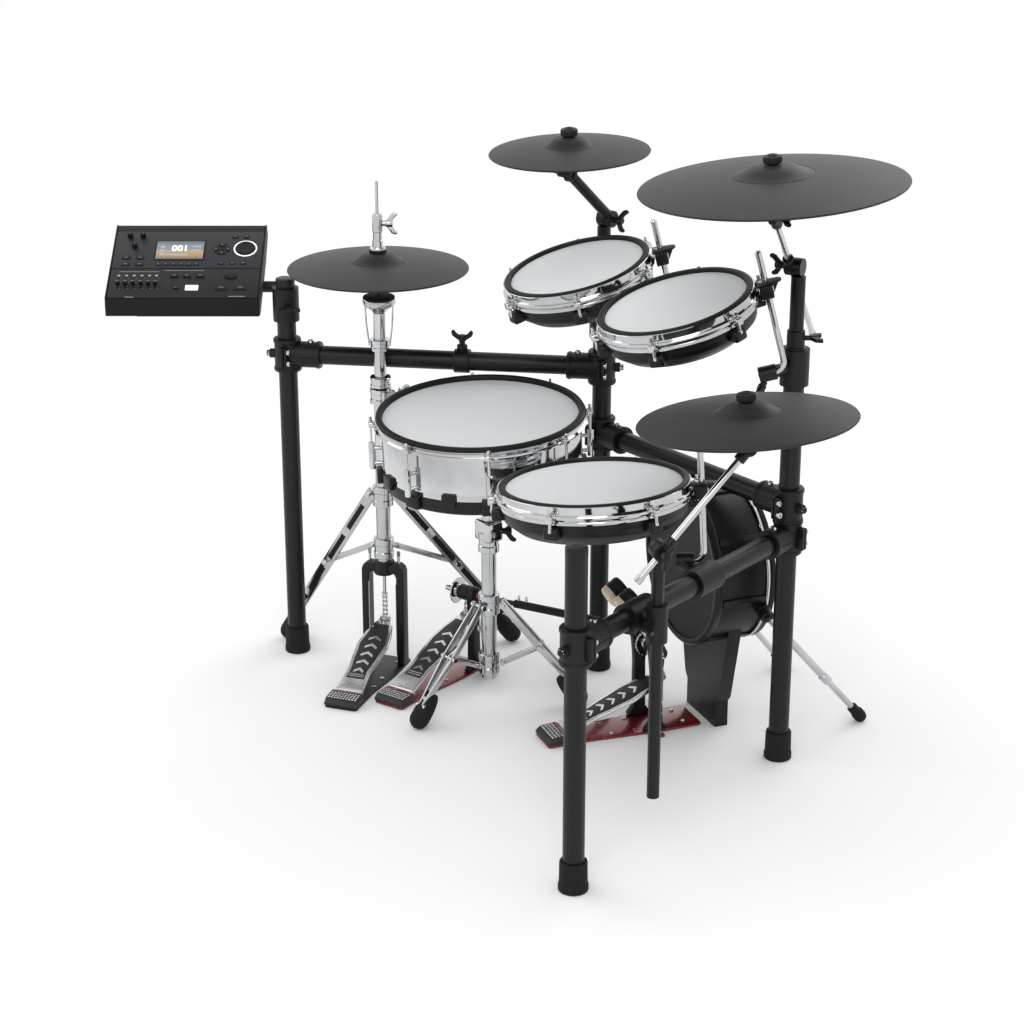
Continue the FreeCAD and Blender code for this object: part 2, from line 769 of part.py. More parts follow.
# Snare pad on its stand
snare_sizes = {
    "snare_d": 386.0,
    "snare_x": -40.0,
    "snare_y": -90.0,
    "snare_z": 586.0,
    "snare_hoop_height": 14.0,
    "snare_shell_low": 104.0,
    "snare_depth": 131.0,
    "snare_inset": 9.0,
    "snare_wall": 3.0,
    "snare_lug_low": 78.0,
    "snare_lug_block": 20.0,
    "snare_lug_reach": 7.0,
    "basket_arm_d": 14.0,
    "basket_reach": 168.0,
    "basket_pad_d": 20.0,
    "basket_pad": 16.0,
    "snare_tube_x": -34.0,
    "snare_tube_y": -76.0,
    "stand_tube_d": 28.0,
    "stand_low": 52.0,
    "snare_tube_top": 392.0,
    "snare_clamp_low": 330.0,
    "snare_leg_high": 205.0,
    "snare_leg_low": 84.0,
    "collar_wall": 6.0,
    "stand_collar": 40.0,
    "leg_d": 9.0,
    "leg_spread": 8.0,
    "leg_foot_d": 40.0,
    "leg_foot_height": 36.0,
    "leg_foot_round": 8.0,
    "snare_foot_near_x": 9.0,
    "snare_foot_near_y": -165.0,
    "snare_foot_right_x": 111.0,
    "snare_foot_right_y": 119.0,
    "snare_foot_left_x": -98.0,
    "snare_foot_left_y": 69.0,
}
S.add(snare_sizes)
snare_tilt = (0.022, -0.056, 0.998)
snare_feet = [(S.snare_foot_near_x, S.snare_foot_near_y), (S.snare_foot_right_x, S.snare_foot_right_y),
              (S.snare_foot_left_x, S.snare_foot_left_y)]
snare_lug_count = 8
tube_r = S.stand_tube_d / 2
snare_r = S.snare_d / 2
snare_place = frame((S.snare_x, S.snare_y, S.snare_z), snare_tilt)
top = -S.rim_height
hoop_low = top - S.snare_hoop_height
wall_r = snare_r - S.snare_inset
base = [(0, -S.snare_depth), (wall_r - S.hoop_ledge, -S.snare_depth), (wall_r, S.hoop_ledge - S.snare_depth),
        (wall_r, -S.snare_shell_low), (wall_r - S.snare_inset, -S.snare_shell_low),
        (wall_r - S.snare_inset, S.shell_wall - S.snare_depth), (0, S.shell_wall - S.snare_depth)]
node("snare_rim", [rim_ring(snare_r), turned(base)], snare_place)
node("snare_head", [drum_head(snare_r)], snare_place)
node("snare_hoop", [ring(snare_r - S.hoop_wall, snare_r, hoop_low, top)], snare_place)
node("snare_shell", [ring(wall_r - S.snare_wall, wall_r, -S.snare_shell_low, hoop_low)], snare_place)


def snare_lug():
    # tube lug on the shell, its tension rod and the claw that pulls the hoop down
    at = snare_r + S.snare_lug_reach
    reach = at - wall_r
    wide = S.lug_screw_d * 2
    low = block(reach, wide, S.snare_lug_block, (wall_r + reach / 2, 0, -S.snare_lug_low))
    claw = block(S.snare_lug_reach, wide, S.lug_height, (at - S.snare_lug_reach / 2, 0, hoop_low))
    tension = cylinder(S.lug_screw_d / 2, S.snare_lug_low, (at, 0, -S.snare_lug_low))
    return fuse([low, claw, tension])


snare_lugs = [turn_about_z(snare_lug(), 360 / snare_lug_count * (number + 0.5))
              for number in range(snare_lug_count)]
node("snare_lugs", snare_lugs, snare_place)

basket = []
arm_z = -S.snare_depth - S.basket_pad
for number in range(3):
    pad = cylinder(S.basket_pad_d / 2, S.basket_pad, (S.basket_reach, 0, arm_z))
    arm = cylinder(S.basket_arm_d * 0.45, S.basket_reach, (0, 0, arm_z - S.basket_arm_d / 2), (1, 0, 0))
    knee = cylinder(S.basket_pad_d / 2, S.basket_arm_d, (S.basket_reach, 0, arm_z - S.basket_arm_d))
    basket.append(turn_about_z(fuse([pad, arm, knee]), 120 * number + 30))
hub_r = tube_r + S.collar_wall
hub = cylinder(hub_r, S.basket_arm_d + S.basket_pad, (0, 0, arm_z - S.basket_arm_d))
node("snare_basket", [fuse([hub, *basket])], snare_place)
snare_tube = (S.snare_tube_x, S.snare_tube_y)


def at_height(plan, z):
    return Vector(float(plan[0]), float(plan[1]), float(z))


def collar(plan, z):
    # clamp ring round a stand tube
    shape = chamfered_ring(tube_r + S.fit_gap, tube_r + S.collar_wall, 0, S.stand_collar, S.collar_wall / 4)
    return moved(shape, frame(at_height(plan, z)))


hub_low = snare_place.multVec(vec((0, 0, arm_z - S.basket_arm_d)))
hub_side = snare_place.multiply(frame((0, 0, arm_z - S.basket_arm_d - S.seat_gap)))
snare_stem = cut(rod(at_height(snare_tube, S.snare_tube_top), hub_low, tube_r),
                 [moved(block(tube_r * 4, tube_r * 4, tube_r * 4), hub_side)])
snare_parts = [
    rod(at_height(snare_tube, S.stand_low), at_height(snare_tube, S.snare_tube_top), tube_r),
    snare_stem,
]
low_collars = [collar(snare_tube, z - S.stand_collar / 2)
               for z in (S.snare_clamp_low, S.snare_leg_high, S.snare_leg_low)]
node("snare_stand_tube", [fuse(snare_parts), *low_collars])
legs = []


def leg_foot(plan):
    foot_r = S.leg_foot_d / 2
    crown = S.leg_foot_round
    shape = turned([(0, 0), (foot_r - crown / 2, 0), (foot_r, crown / 2), (foot_r, S.leg_foot_height / 2),
                    (foot_r / 2, S.leg_foot_height), (0, S.leg_foot_height)])
    return moved(shape, frame(at_height(plan, 0)))


def tripod_leg(plan, foot, high, low):
    # pair of struts from a collar to the foot with a brace from the lower collar
    run = heading(plan, foot)
    side = Vector(run.y, -run.x, 0) * float(S.leg_spread)
    pivot_r, brace_r = S.leg_d * 0.6, S.leg_d * 0.55
    start = at_height(plan, high) + run * float(tube_r + S.collar_wall + pivot_r + S.seat_gap)
    reach = at_height(foot, S.leg_foot_height + pivot_r + S.seat_gap)
    brace = at_height(plan, low) + run * float(tube_r + S.collar_wall + brace_r + S.seat_gap)
    middle = (start + reach) / 2
    low_side = side * 0.5
    return fuse([
        rod(start + side, reach + low_side, S.leg_d / 2),
        rod(start - side, reach - low_side, S.leg_d / 2),
        rod(start - side * 1.6, start + side * 1.6, pivot_r),
        rod(reach - side, reach + side, pivot_r),
        rod(middle - side * 1.3, middle + side * 1.3, S.leg_d * 0.4),
        rod(brace, middle, brace_r),
    ])


for across, forward in snare_feet:
    foot = (S.snare_tube_x + across, S.snare_tube_y + forward)
    legs.append(tripod_leg(snare_tube, foot, S.snare_leg_high, S.snare_leg_low))
    feet.append(leg_foot(foot))

# Hi-hat stand, its cymbal pad and pull rod
hihat_sizes = {
    "hihat_x": -305.0,
    "hihat_y": -124.0,
    "hihat_d": 338.0,
    "hihat_z": 801.0,
    "hihat_tube_low": 198.0,
    "hihat_tube_top": 722.0,
    "hihat_seat_d": 62.0,
    "hihat_seat": 22.0,
    "hihat_clamp_z": 560.0,
    "hihat_ring_z": 649.0,
    "hihat_leg_high": 353.0,
    "hihat_leg_low": 246.0,
    "pull_rod_d": 6.4,
    "pull_rod_low": 150.0,
    "pull_rod_top": 966.0,
    "rod_thread_d": 6.0,
    "rod_thread": 54.0,
    "clutch_d": 17.0,
    "clutch_low": 760.0,
    "clutch_top": 905.0,
    "clutch_nut_d": 30.0,
    "clutch_nut": 24.0,
    "hihat_foot_left_x": -215.0,
    "hihat_foot_left_y": -81.0,
    "hihat_foot_right_x": 68.0,
    "hihat_foot_right_y": 255.0,
}
S.add(hihat_sizes)
hihat = (S.hihat_x, S.hihat_y)
rod_bore = S.pull_rod_d / 2 + S.seat_gap
inside = tube_r - S.pipe_wall
seat_r = S.hihat_seat_d / 2
hihat_column = turned([
    (inside, S.hihat_tube_low), (tube_r, S.hihat_tube_low), (tube_r, S.hihat_tube_top),
    (seat_r, S.hihat_tube_top + S.hihat_seat / 2), (seat_r, S.hihat_tube_top + S.hihat_seat),
    (rod_bore, S.hihat_tube_top + S.hihat_seat), (rod_bore, S.hihat_tube_top - S.hihat_seat),
    (inside, S.hihat_tube_top - S.hihat_seat),
])
hihat_collars = [collar(hihat, z - S.stand_collar / 2)
                 for z in (S.hihat_clamp_z, S.hihat_ring_z + S.stand_collar / 2, S.hihat_leg_high, S.hihat_leg_low)]
node("hihat_stand_tube", [moved(hihat_column, frame(at_height(hihat, 0))), *hihat_collars])
for across, forward in ((S.hihat_foot_left_x, S.hihat_foot_left_y), (S.hihat_foot_right_x, S.hihat_foot_right_y)):
    foot = (S.hihat_x + across, S.hihat_y + forward)
    legs.append(tripod_leg(hihat, foot, S.hihat_leg_high, S.hihat_leg_low))
    feet.append(leg_foot(foot))
node("tripod_legs", legs)
node("rubber_feet", feet)
node("hihat_cymbal", [cymbal(S.hihat_d)], frame(at_height(hihat, S.hihat_z)))
thread_low = at_height(hihat, S.pull_rod_top - S.rod_thread)
pull_rod = rod(at_height(hihat, S.pull_rod_low), thread_low, S.pull_rod_d / 2)
pull_thread = rod(thread_low, at_height(hihat, S.pull_rod_top), S.rod_thread_d / 2)
node("hihat_pull_rod", [fuse([pull_rod, pull_thread])])
clutch_r = S.clutch_d / 2
nut_r = S.clutch_nut_d / 2
hihat_top = S.hihat_z + S.hihat_d * cone_share + S.bell_rise
hihat_under = hihat_top - S.cymbal_thick
grip = S.pull_rod_d / 2 + S.running_gap
clutch = turned([
    (grip, S.clutch_low), (clutch_r, S.clutch_low), (clutch_r, hihat_under - S.clutch_nut),
    (nut_r, hihat_under - S.clutch_nut), (nut_r, hihat_under), (clutch_r, hihat_under), (clutch_r, hihat_top),
    (nut_r, hihat_top), (nut_r, hihat_top + S.clutch_nut), (clutch_r, hihat_top + S.clutch_nut),
    (clutch_r, S.clutch_top), (grip, S.clutch_top),
])
clutch_side = Vector(0.65, 0.76, 0)
clutch_wing = wing_bolt(at_height(hihat, S.clutch_top - S.clutch_nut) + clutch_side * float(clutch_r), clutch_side)
node("hihat_clutch", [moved(clutch, frame(at_height(hihat, 0))), clutch_wing])
slide("hihat_pull", (0, 0, 1))

# Kick pad, its stand and spurs
kick_sizes = {
    "kick_x": 239.0,
    "kick_y": 154.0,
    "kick_z": 312.0,
    "kick_d": 300.0,
    "kick_depth": 120.0,
    "kick_hoop": 16.0,
    "kick_step": 5.0,
    "kick_rim": 12.0,
    "kick_head_thick": 3.0,
    "kick_wall": 5.0,
    "kick_stand_at": 52.0,
    "kick_stand_thick": 26.0,
    "kick_stand_top_half": 104.0,
    "kick_stand_waist_half": 70.0,
    "kick_stand_foot_half": 60.0,
    "kick_stand_waist_z": 62.0,
    "kick_stand_notch": 12.0,
    "spur_d": 14.0,
    "spur_boss_d": 26.0,
    "spur_boss": 12.0,
    "spur_eye": 17.0,
    "spur_down": 50.0,
    "spur_back": 100.0,
    "spur_foot_d": 24.0,
    "spur_foot": 34.0,
    "spur_right_x": 462.0,
    "spur_right_y": 427.0,
    "spur_left_x": 204.0,
    "spur_left_y": 481.0,
}
S.add(kick_sizes)
kick_run = Vector(0.288, 0.958, 0).normalize()
kick_side = Vector(kick_run.y, -kick_run.x, 0)
kick_place = frame((S.kick_x, S.kick_y, S.kick_z), kick_run, -kick_side)
kick_r = S.kick_d / 2
body_r = kick_r - S.kick_step
rear = S.kick_depth - S.kick_hoop
head_r = kick_r - S.kick_rim
kick_shell = turned([
    (head_r, 0), (kick_r, 0), (kick_r, S.kick_hoop), (body_r, S.kick_hoop), (body_r, rear), (kick_r, rear),
    (kick_r, S.kick_depth), (0, S.kick_depth), (0, S.kick_depth - S.kick_wall),
    (body_r - S.kick_wall, S.kick_depth - S.kick_wall), (body_r - S.kick_wall, S.kick_hoop), (head_r, S.kick_hoop),
])
node("kick_head", [cylinder(head_r, S.kick_head_thick, (0, 0, S.kick_rim / 4))], kick_place)
spur_bosses = []
for name, side, foot in (("right", 1, (S.spur_right_x, S.spur_right_y)), ("left", -1, (S.spur_left_x, S.spur_left_y))):
    # each spur swings on a boss that stands out radially from the shell
    out = Vector(-side * math.sqrt(float(body_r) ** 2 - float(S.spur_down) ** 2), -float(S.spur_down), 0)
    radial = kick_place.Rotation.multVec(out).normalize()
    root = kick_place.multVec(Vector(0, 0, float(S.spur_back))) + radial * float(body_r - S.kick_wall / 2)
    spur_bosses.append(cylinder(S.spur_boss_d / 2, S.spur_boss, root, radial))
    eye = root + radial * float(S.spur_boss + S.seat_gap)
    middle = eye + radial * float(S.spur_eye / 2)
    ground = at_height(foot, 0)
    run = (ground - middle).normalize()
    tip = ground - run * float(S.spur_foot)
    spur = fuse([cylinder(S.spur_boss_d / 2, S.spur_eye, eye, radial), rod(middle, tip, S.spur_d / 2)])
    rubber = cut(cylinder(S.spur_foot_d / 2, S.spur_foot * 2, tip, run),
                 [moved(block(S.spur_foot * 9, S.spur_foot * 9, S.spur_foot * 9), frame(ground, (0, 0, -1)))])
    node("kick_spur_" + name, [spur, rubber])
    hinge("spur_%s_fold" % name, root, radial)
node("kick_shell", [fuse([moved(kick_shell, kick_place), *spur_bosses])])
seat_of_shell = body_r + S.fit_gap
top_half = S.kick_stand_top_half
top_drop = -math.sqrt(float(seat_of_shell) ** 2 - float(top_half) ** 2)
waist = S.kick_stand_waist_z - S.kick_z
notch = waist - S.kick_stand_notch
stand_outline = [
    (-top_half, top_drop), (-S.kick_stand_waist_half, waist), (-S.kick_stand_foot_half, notch),
    (-S.kick_stand_foot_half, -S.kick_z), (S.kick_stand_foot_half, -S.kick_z), (S.kick_stand_foot_half, notch),
    (S.kick_stand_waist_half, waist), (top_half, top_drop),
]
stand_panel = plate(stand_outline, S.kick_stand_thick, S.kick_stand_at)
stand_panel = cut(stand_panel, [cylinder(seat_of_shell, S.kick_depth * 2, (0, 0, -S.kick_depth / 2))])
node("kick_stand", [stand_panel], kick_place)

# Pedals: a twin kick pedal and the hi-hat pedal, drawn in frames whose X runs from heel to toe
pedal_sizes = {
    "main_toe_x": 248.5,
    "main_toe_y": 186.1,
    "main_length": 304.0,
    "main_axle": 210.0,
    "main_axle_z": 165.0,
    "slave_heel_x": -138.0,
    "slave_heel_y": -239.0,
    "slave_length": 262.0,
    "slave_axle": 225.0,
    "slave_axle_z": 163.0,
    "hihat_heel_x": -183.0,
    "hihat_heel_y": -318.0,
    "base_thick": 5.0,
    "base_heel_width": 66.0,
    "base_toe_width": 86.0,
    "heel_plate": 40.0,
    "heel_plate_height": 20.0,
    "hinge_at": 45.3,
    "hinge_z": 19.0,
    "hinge_d": 10.0,
    "main_board": 212.0,
    "slave_board": 228.0,
    "hihat_board": 204.0,
    "board_thick": 7.0,
    "board_heel_half": 27.0,
    "board_waist_half": 24.0,
    "board_wide_half": 33.0,
    "board_toe_half": 12.0,
    "post_half": 38.0,
    "post_width": 15.0,
    "post_length": 26.0,
    "axle_d": 11.0,
    "hub_d": 22.0,
    "sprocket_d": 52.0,
    "sprocket_width": 10.0,
    "beater_length": 112.0,
    "beater_rod_d": 7.0,
    "beater_d": 46.0,
    "beater_width": 26.0,
    "felt_width": 14.0,
    "beater_spread": 27.0,
    "chain_width": 10.0,
    "chain_pitch": 9.0,
    "chain_plate": 1.6,
    "chain_roller_d": 5.0,
    "lever_d": 26.0,
    "lever_width": 7.0,
    "lever_at": 55.0,
    "spring_d": 13.0,
    "spring_wire_d": 3.2,
    "spring_low": 52.0,
    "adjuster_d": 6.0,
    "joint_d": 20.0,
    "joint_length": 20.0,
    "slave_joint_at": 60.0,
    "main_joint_at": 74.0,
    "shaft_d": 12.0,
    "shaft_sleeve_d": 16.0,
    "shaft_sleeve": 90.0,
    "hihat_frame_half": 36.0,
    "hihat_frame_z": 196.0,
    "hihat_bar": 18.0,
}
S.add(pedal_sizes)
board_pitch = 21.0
beater_lean = 32.0
spring_turns = 11
wire_sides = 8
main_run = kick_run
slave_run = Vector(-0.282, 0.959, 0).normalize()
hihat_run = Vector(-0.532, 0.847, 0).normalize()
main_toe = at_height((S.main_toe_x, S.main_toe_y), 0)
main_place = frame(main_toe - main_run * float(S.main_length), (0, 0, 1), main_run)
slave_place = frame((S.slave_heel_x, S.slave_heel_y, 0), (0, 0, 1), slave_run)
hihat_place = frame((S.hihat_heel_x, S.hihat_heel_y, 0), (0, 0, 1), hihat_run)
across = Vector(0, 1, 0)
axle_r = S.axle_d / 2
hihat_post = (at_height(hihat, 0) - at_height((S.hihat_heel_x, S.hihat_heel_y), 0)).Length


def pedal_base(length):
    heel = S.base_heel_width / 2
    toe = S.base_toe_width / 2
    bend = S.heel_plate + S.hinge_at
    return plate([(0, -heel), (bend, -heel), (length * 0.7, -toe), (length, -toe), (length, toe),
                  (length * 0.7, toe), (bend, heel), (0, heel)], S.base_thick)


def heel_plate():
    # wedge that the board is hinged to
    high = S.heel_plate_height
    side = plate([(0, S.base_thick), (S.heel_plate, S.base_thick), (S.heel_plate, high),
                  (S.heel_plate / 4, high * 0.9), (0, high / 2)], S.base_heel_width)
    stand = FreeCAD.Placement(Vector(0, float(S.base_heel_width) / 2, 0), FreeCAD.Rotation(Vector(1, 0, 0), 90))
    return moved(side, stand)


def footboard(long):
    # waisted board on its hinge barrel, lying along X before it is pitched up
    heel, waist_half, wide, toe = S.board_heel_half, S.board_waist_half, S.board_wide_half, S.board_toe_half
    right = [(0, -heel), (long * 0.25, -waist_half), ((long * 0.62, -wide), (long * 0.88, -toe * 1.5)), (long, -toe)]
    left = [(long, toe), (long * 0.88, toe * 1.5), ((long * 0.62, wide), (long * 0.25, waist_half)), (0, heel)]
    board = plate(right + left, S.board_thick, -S.board_thick / 2)
    barrel = cylinder(S.hinge_d / 2, heel * 2, (0, -heel, 0), across)
    pitch = FreeCAD.Placement(Vector(float(S.hinge_at), 0, float(S.hinge_z)),
                              FreeCAD.Rotation(across, -board_pitch))
    return moved(fuse([board, barrel]), pitch)


def board_top(x):
    # height of a resting board's upper face above the floor, at a distance from the heel
    pitch = math.radians(board_pitch)
    rise = (float(x) - float(S.hinge_at)) * math.tan(pitch)
    return float(S.hinge_z) + rise + float(S.board_thick) / 2 / math.cos(pitch)


def chain(x, low, high):
    # roller chain hanging straight between two heights, side plates lapped like the real one
    links = []
    count = int((high - low) / float(S.chain_pitch))
    pitch = (high - low) / count
    for number in range(count):
        z = low + pitch * number
        inset = S.chain_plate if number % 2 else 0
        half = S.chain_width / 2 - inset
        tall = pitch - float(S.seat_gap)
        for edge in (half - S.chain_plate / 2, S.chain_plate / 2 - half):
            links.append(block(S.chain_roller_d, S.chain_plate, tall, (x, edge, z)))
        gauge = half * 2 - S.chain_plate
        links.append(cylinder(S.chain_roller_d / 2.5, gauge, (x, -gauge / 2, z + tall / 2), across))
    return fuse(links)


def cast_post(x, y, high, bore):
    # column on the base with a round head bored for the axle
    foot = block(S.post_length, S.post_width, high - S.base_thick, (x, y, S.base_thick))
    half = S.post_width / 2
    round_head = cylinder(S.post_length / 2 + S.collar_wall / 2, S.post_width, (x, y - half, high), across)
    return cut(fuse([foot, round_head]), [cylinder(bore, S.post_width * 3, (x, y - half * 3, high), across)])


def coil(x, y, low, length):
    # wound spring: half turns joined by pairs of arcs, with straight ends
    mean = float(S.spring_d - S.spring_wire_d) / 2
    rise = float(length) / spring_turns
    slope = rise / (2 * math.pi)

    def at(turn):
        angle = turn * 2 * math.pi
        return Vector(mean * math.cos(angle), mean * math.sin(angle), rise * turn)

    def tangent(turn):
        angle = turn * 2 * math.pi
        return Vector(-mean * math.sin(angle), mean * math.cos(angle), slope).normalize()

    edges = []
    for half in range(spring_turns * 2):
        start, end = at(half / 2), at((half + 1) / 2)
        edges += biarc(start, tangent(half / 2), end, tangent((half + 1) / 2))
    lead = tangent(0) * float(S.spring_wire_d)
    trail = tangent(spring_turns) * float(S.spring_wire_d)
    edges.insert(0, Part.LineSegment(at(0) - lead, at(0)).toShape())
    edges.append(Part.LineSegment(at(spring_turns), at(spring_turns) + trail).toShape())
    path = Part.Wire(edges)
    radius = float(S.spring_wire_d) / 2
    wire_end = frame(at(0) - lead, tangent(0))
    turns = [number * 2 * math.pi / wire_sides for number in range(wire_sides)]
    corners = [wire_end.multVec(Vector(radius * math.cos(turn), radius * math.sin(turn), 0)) for turn in turns]
    section = Part.makePolygon(corners + corners[:1])
    steps = 48
    spots = [at(number / steps) for number in range(steps * spring_turns)]
    apart = min((spots[i] - spots[j]).Length for i in range(len(spots)) for j in range(i + steps // 2, len(spots)))
    print("spring: least gap to itself %.2f mm" % (apart - float(S.spring_wire_d)))
    spring = doc.addObject("Part::Feature", "spring")
    spring.Shape = path.makePipeShell([section], True, False)
    spring.Placement.Base = Vector(float(x), float(y), float(low))
    return spring


def biarc(start, leave, end, arrive):
    # two arcs that join two points and leave and arrive along the given directions
    chord = end - start
    sum_of = leave + arrive
    a = 2 * (1 - leave.dot(arrive))
    b = 2 * chord.dot(sum_of)
    reach = (-b + math.sqrt(b * b + 4 * a * chord.dot(chord))) / (2 * a)
    first, last = start + leave * reach, end - arrive * reach
    join = (first + last) / 2
    return [arc_of(start, first, join), arc_of(join, last, end)]


def arc_of(start, corner, end):
    # arc tangent to both legs of an isosceles corner
    middle = (start + end) / 2
    rise = (corner - middle).Length
    sagitta = (end - start).Length / 2 * math.tan(math.atan2(rise, (end - start).Length / 2) / 2)
    top_point = middle + (corner - middle).normalize() * sagitta
    return Part.Arc(start, top_point, end).toShape()


bases = []
frames_parts = []
chains = []
springs = []
hihat_length = hihat_post + float(S.post_length)
for place, length in ((main_place, S.main_length), (slave_place, S.slave_length), (hihat_place, hihat_length)):
    bases.append(moved(pedal_base(length), place))
    frames_parts.append(moved(heel_plate(), place))
boards = (("main", main_place, S.main_board), ("slave", slave_place, S.slave_board),
          ("hihat", hihat_place, S.hihat_board))
for name, place, long in boards:
    node(name + "_footboard", [moved(footboard(long), place)])
    hinge_point = place.multVec(Vector(float(S.hinge_at), 0, float(S.hinge_z)))
    hinge(name + "_pedal", hinge_point, place.Rotation.multVec(across))


# posts, axles and beaters of the main pedal
main_x, main_z = S.main_axle, S.main_axle_z
bore_r = axle_r + S.running_gap
for side in (-1, 1):
    frames_parts.append(moved(cast_post(main_x, S.post_half * side, main_z, bore_r), main_place))
axle_at = Vector(float(main_x), 0, float(main_z))
lean = FreeCAD.Placement(axle_at, FreeCAD.Rotation(across, -beater_lean))
hub_r = S.hub_d / 2
hub_in = S.sprocket_width / 2
post_in = S.post_half - S.post_width / 2 - S.seat_gap


def beater(y, side):
    # rod and head in the leaning frame, black face forward and felt behind
    shaft = cylinder(S.beater_rod_d / 2, S.beater_length, (0, y, 0))
    body = cylinder(S.beater_d / 2, S.beater_width, (0, y, S.beater_length), (1, 0, 0))
    felt = cylinder(S.beater_d / 2 - S.chain_plate, S.felt_width, (-S.felt_width, y, S.beater_length), (1, 0, 0))
    low = hub_in + S.seat_gap if side > 0 else -post_in
    hub = cylinder(hub_r, post_in - hub_in - S.seat_gap, (0, low, 0), across)
    return [shaft, body, felt, hub]


def lever(y):
    # crank on the axle's outer end that the spring hooks to
    disc = cylinder(S.lever_d / 2, S.lever_width, (0, y - S.lever_width / 2, 0), across)
    return disc


reach_out = S.lever_at + S.lever_width / 2
right = beater(-S.beater_spread, -1)
right.append(cylinder(axle_r, reach_out - hub_in, (0, -reach_out, 0), across))
right.append(cylinder(S.sprocket_d / 2, S.sprocket_width, (0, -hub_in, 0), across))
right.append(lever(-S.lever_at))
node("right_beater", [moved(fuse(right), main_place.multiply(lean))])
left_end = S.main_joint_at
left = beater(S.beater_spread, 1)
left.append(cylinder(axle_r, left_end - hub_in - S.seat_gap, (0, hub_in + S.seat_gap, 0), across))
left.append(lever(S.lever_at))
left.append(cylinder(S.joint_d / 2, S.joint_length / 2, (0, left_end - S.joint_length / 2, 0), across))
node("left_beater", [moved(fuse(left), main_place.multiply(lean))])
main_axle_point = main_place.multVec(axle_at)
hinge("right_beater_swing", main_axle_point, main_place.Rotation.multVec(across))
hinge("left_beater_swing", main_axle_point, main_place.Rotation.multVec(across))

# springs beside the main pedal's posts, each between its crank and an adjuster on the base
spring_top = main_z - S.lever_d / 2 - S.spring_wire_d / 2 - S.seat_gap
for side in (-1, 1):
    y = S.lever_at * side
    springs.append(moved(coil(main_x, y, S.spring_low, spring_top - S.spring_low), main_place))
    tall = S.spring_low - S.base_thick - S.spring_wire_d / 2 - S.seat_gap
    stem = cylinder(S.adjuster_d / 2, tall, (main_x, y, S.base_thick))
    cap = cylinder(S.spring_d / 2, S.base_thick, (main_x, y, tall))
    adjuster = fuse([stem, cap])
    ear = block(S.adjuster_d * 3, S.lever_at - S.base_toe_width / 2 + S.adjuster_d * 1.5, S.base_thick,
                (main_x, (S.lever_at + S.base_toe_width / 2 + S.adjuster_d * 1.5) / 2 * side, 0))
    frames_parts.append(moved(adjuster, main_place))
    bases.append(moved(ear, main_place))
node("pedal_springs", springs)

# slave pedal: one post with a long bearing, cam and coupling
slave_x, slave_z = S.slave_axle, S.slave_axle_z
frames_parts.append(moved(cast_post(slave_x, -S.post_half, slave_z, bore_r), slave_place))
slave_axle = Vector(float(slave_x), 0, float(slave_z))
joint_end = S.slave_joint_at
cam = fuse([
    cylinder(axle_r, joint_end + S.beater_spread, (0, -joint_end, 0), across),
    cylinder(S.sprocket_d / 2, S.sprocket_width, (0, -hub_in, 0), across),
    cylinder(S.joint_d / 2, S.joint_length / 2, (0, -joint_end, 0), across),
])
node("slave_cam", [moved(cam, slave_place.multiply(frame(slave_axle)))])
hinge("slave_cam_turn", slave_place.multVec(slave_axle), slave_place.Rotation.multVec(across))
shaft_start = slave_place.multVec(vec((slave_x, -joint_end, slave_z)))
shaft_end = main_place.multVec(vec((main_x, left_end, main_z)))
shaft_run = (shaft_end - shaft_start).normalize()
ball_room = float(S.shaft_d / 2 + S.seat_gap)
near_gap = shaft_run * (ball_room / abs(shaft_run.dot(slave_place.Rotation.multVec(across))))
far_gap = shaft_run * (ball_room / abs(shaft_run.dot(main_place.Rotation.multVec(across))))
middle = (shaft_start + shaft_end) / 2
sleeve = shaft_run * float(S.shaft_sleeve)
drive = fuse([
    rod(shaft_start + near_gap, shaft_end - far_gap, S.shaft_d / 2),
    ball(S.shaft_d / 2, shaft_start + near_gap),
    ball(S.shaft_d / 2, shaft_end - far_gap),
    rod(middle - sleeve, middle + sleeve, S.shaft_sleeve_d / 2),
])
node("drive_shaft", [drive])
hinge("drive_shaft_turn", shaft_start, shaft_run)

# chains from the cams to the toes, and the hi-hat's chain
for place, axle in ((main_place, axle_at), (slave_place, slave_axle)):
    x = axle.x + float(S.sprocket_d / 2 + S.chain_roller_d / 2 + S.seat_gap)
    low = board_top(x + float(S.chain_roller_d)) + float(S.seat_gap)
    chains.append(moved(chain(x, low, axle.z), place))
low = board_top(hihat_post + float(S.chain_roller_d)) + float(S.seat_gap)
chains.append(moved(chain(hihat_post, low, float(S.pull_rod_low - S.seat_gap)), hihat_place))
node("pedal_chains", chains)

# hi-hat pedal frame: two posts and a top bar that carries the stand tube
for side in (-1, 1):
    frames_parts.append(moved(block(S.post_length, S.post_width, S.hihat_frame_z - S.base_thick,
                                    (hihat_post, S.hihat_frame_half * side, S.base_thick)), hihat_place))
bar = block(S.post_length * 1.6, S.hihat_frame_half * 2 + S.post_width, S.hihat_bar, (hihat_post, 0, S.hihat_frame_z))
bar = cut(bar, [cylinder(tube_r + S.fit_gap, S.hihat_bar * 3, (hihat_post, 0, S.hihat_frame_z - S.hihat_bar))])
node("hihat_pedal_frame", [moved(bar, hihat_place)])
node("pedal_bases", bases)
node("pedal_frames", frames_parts)

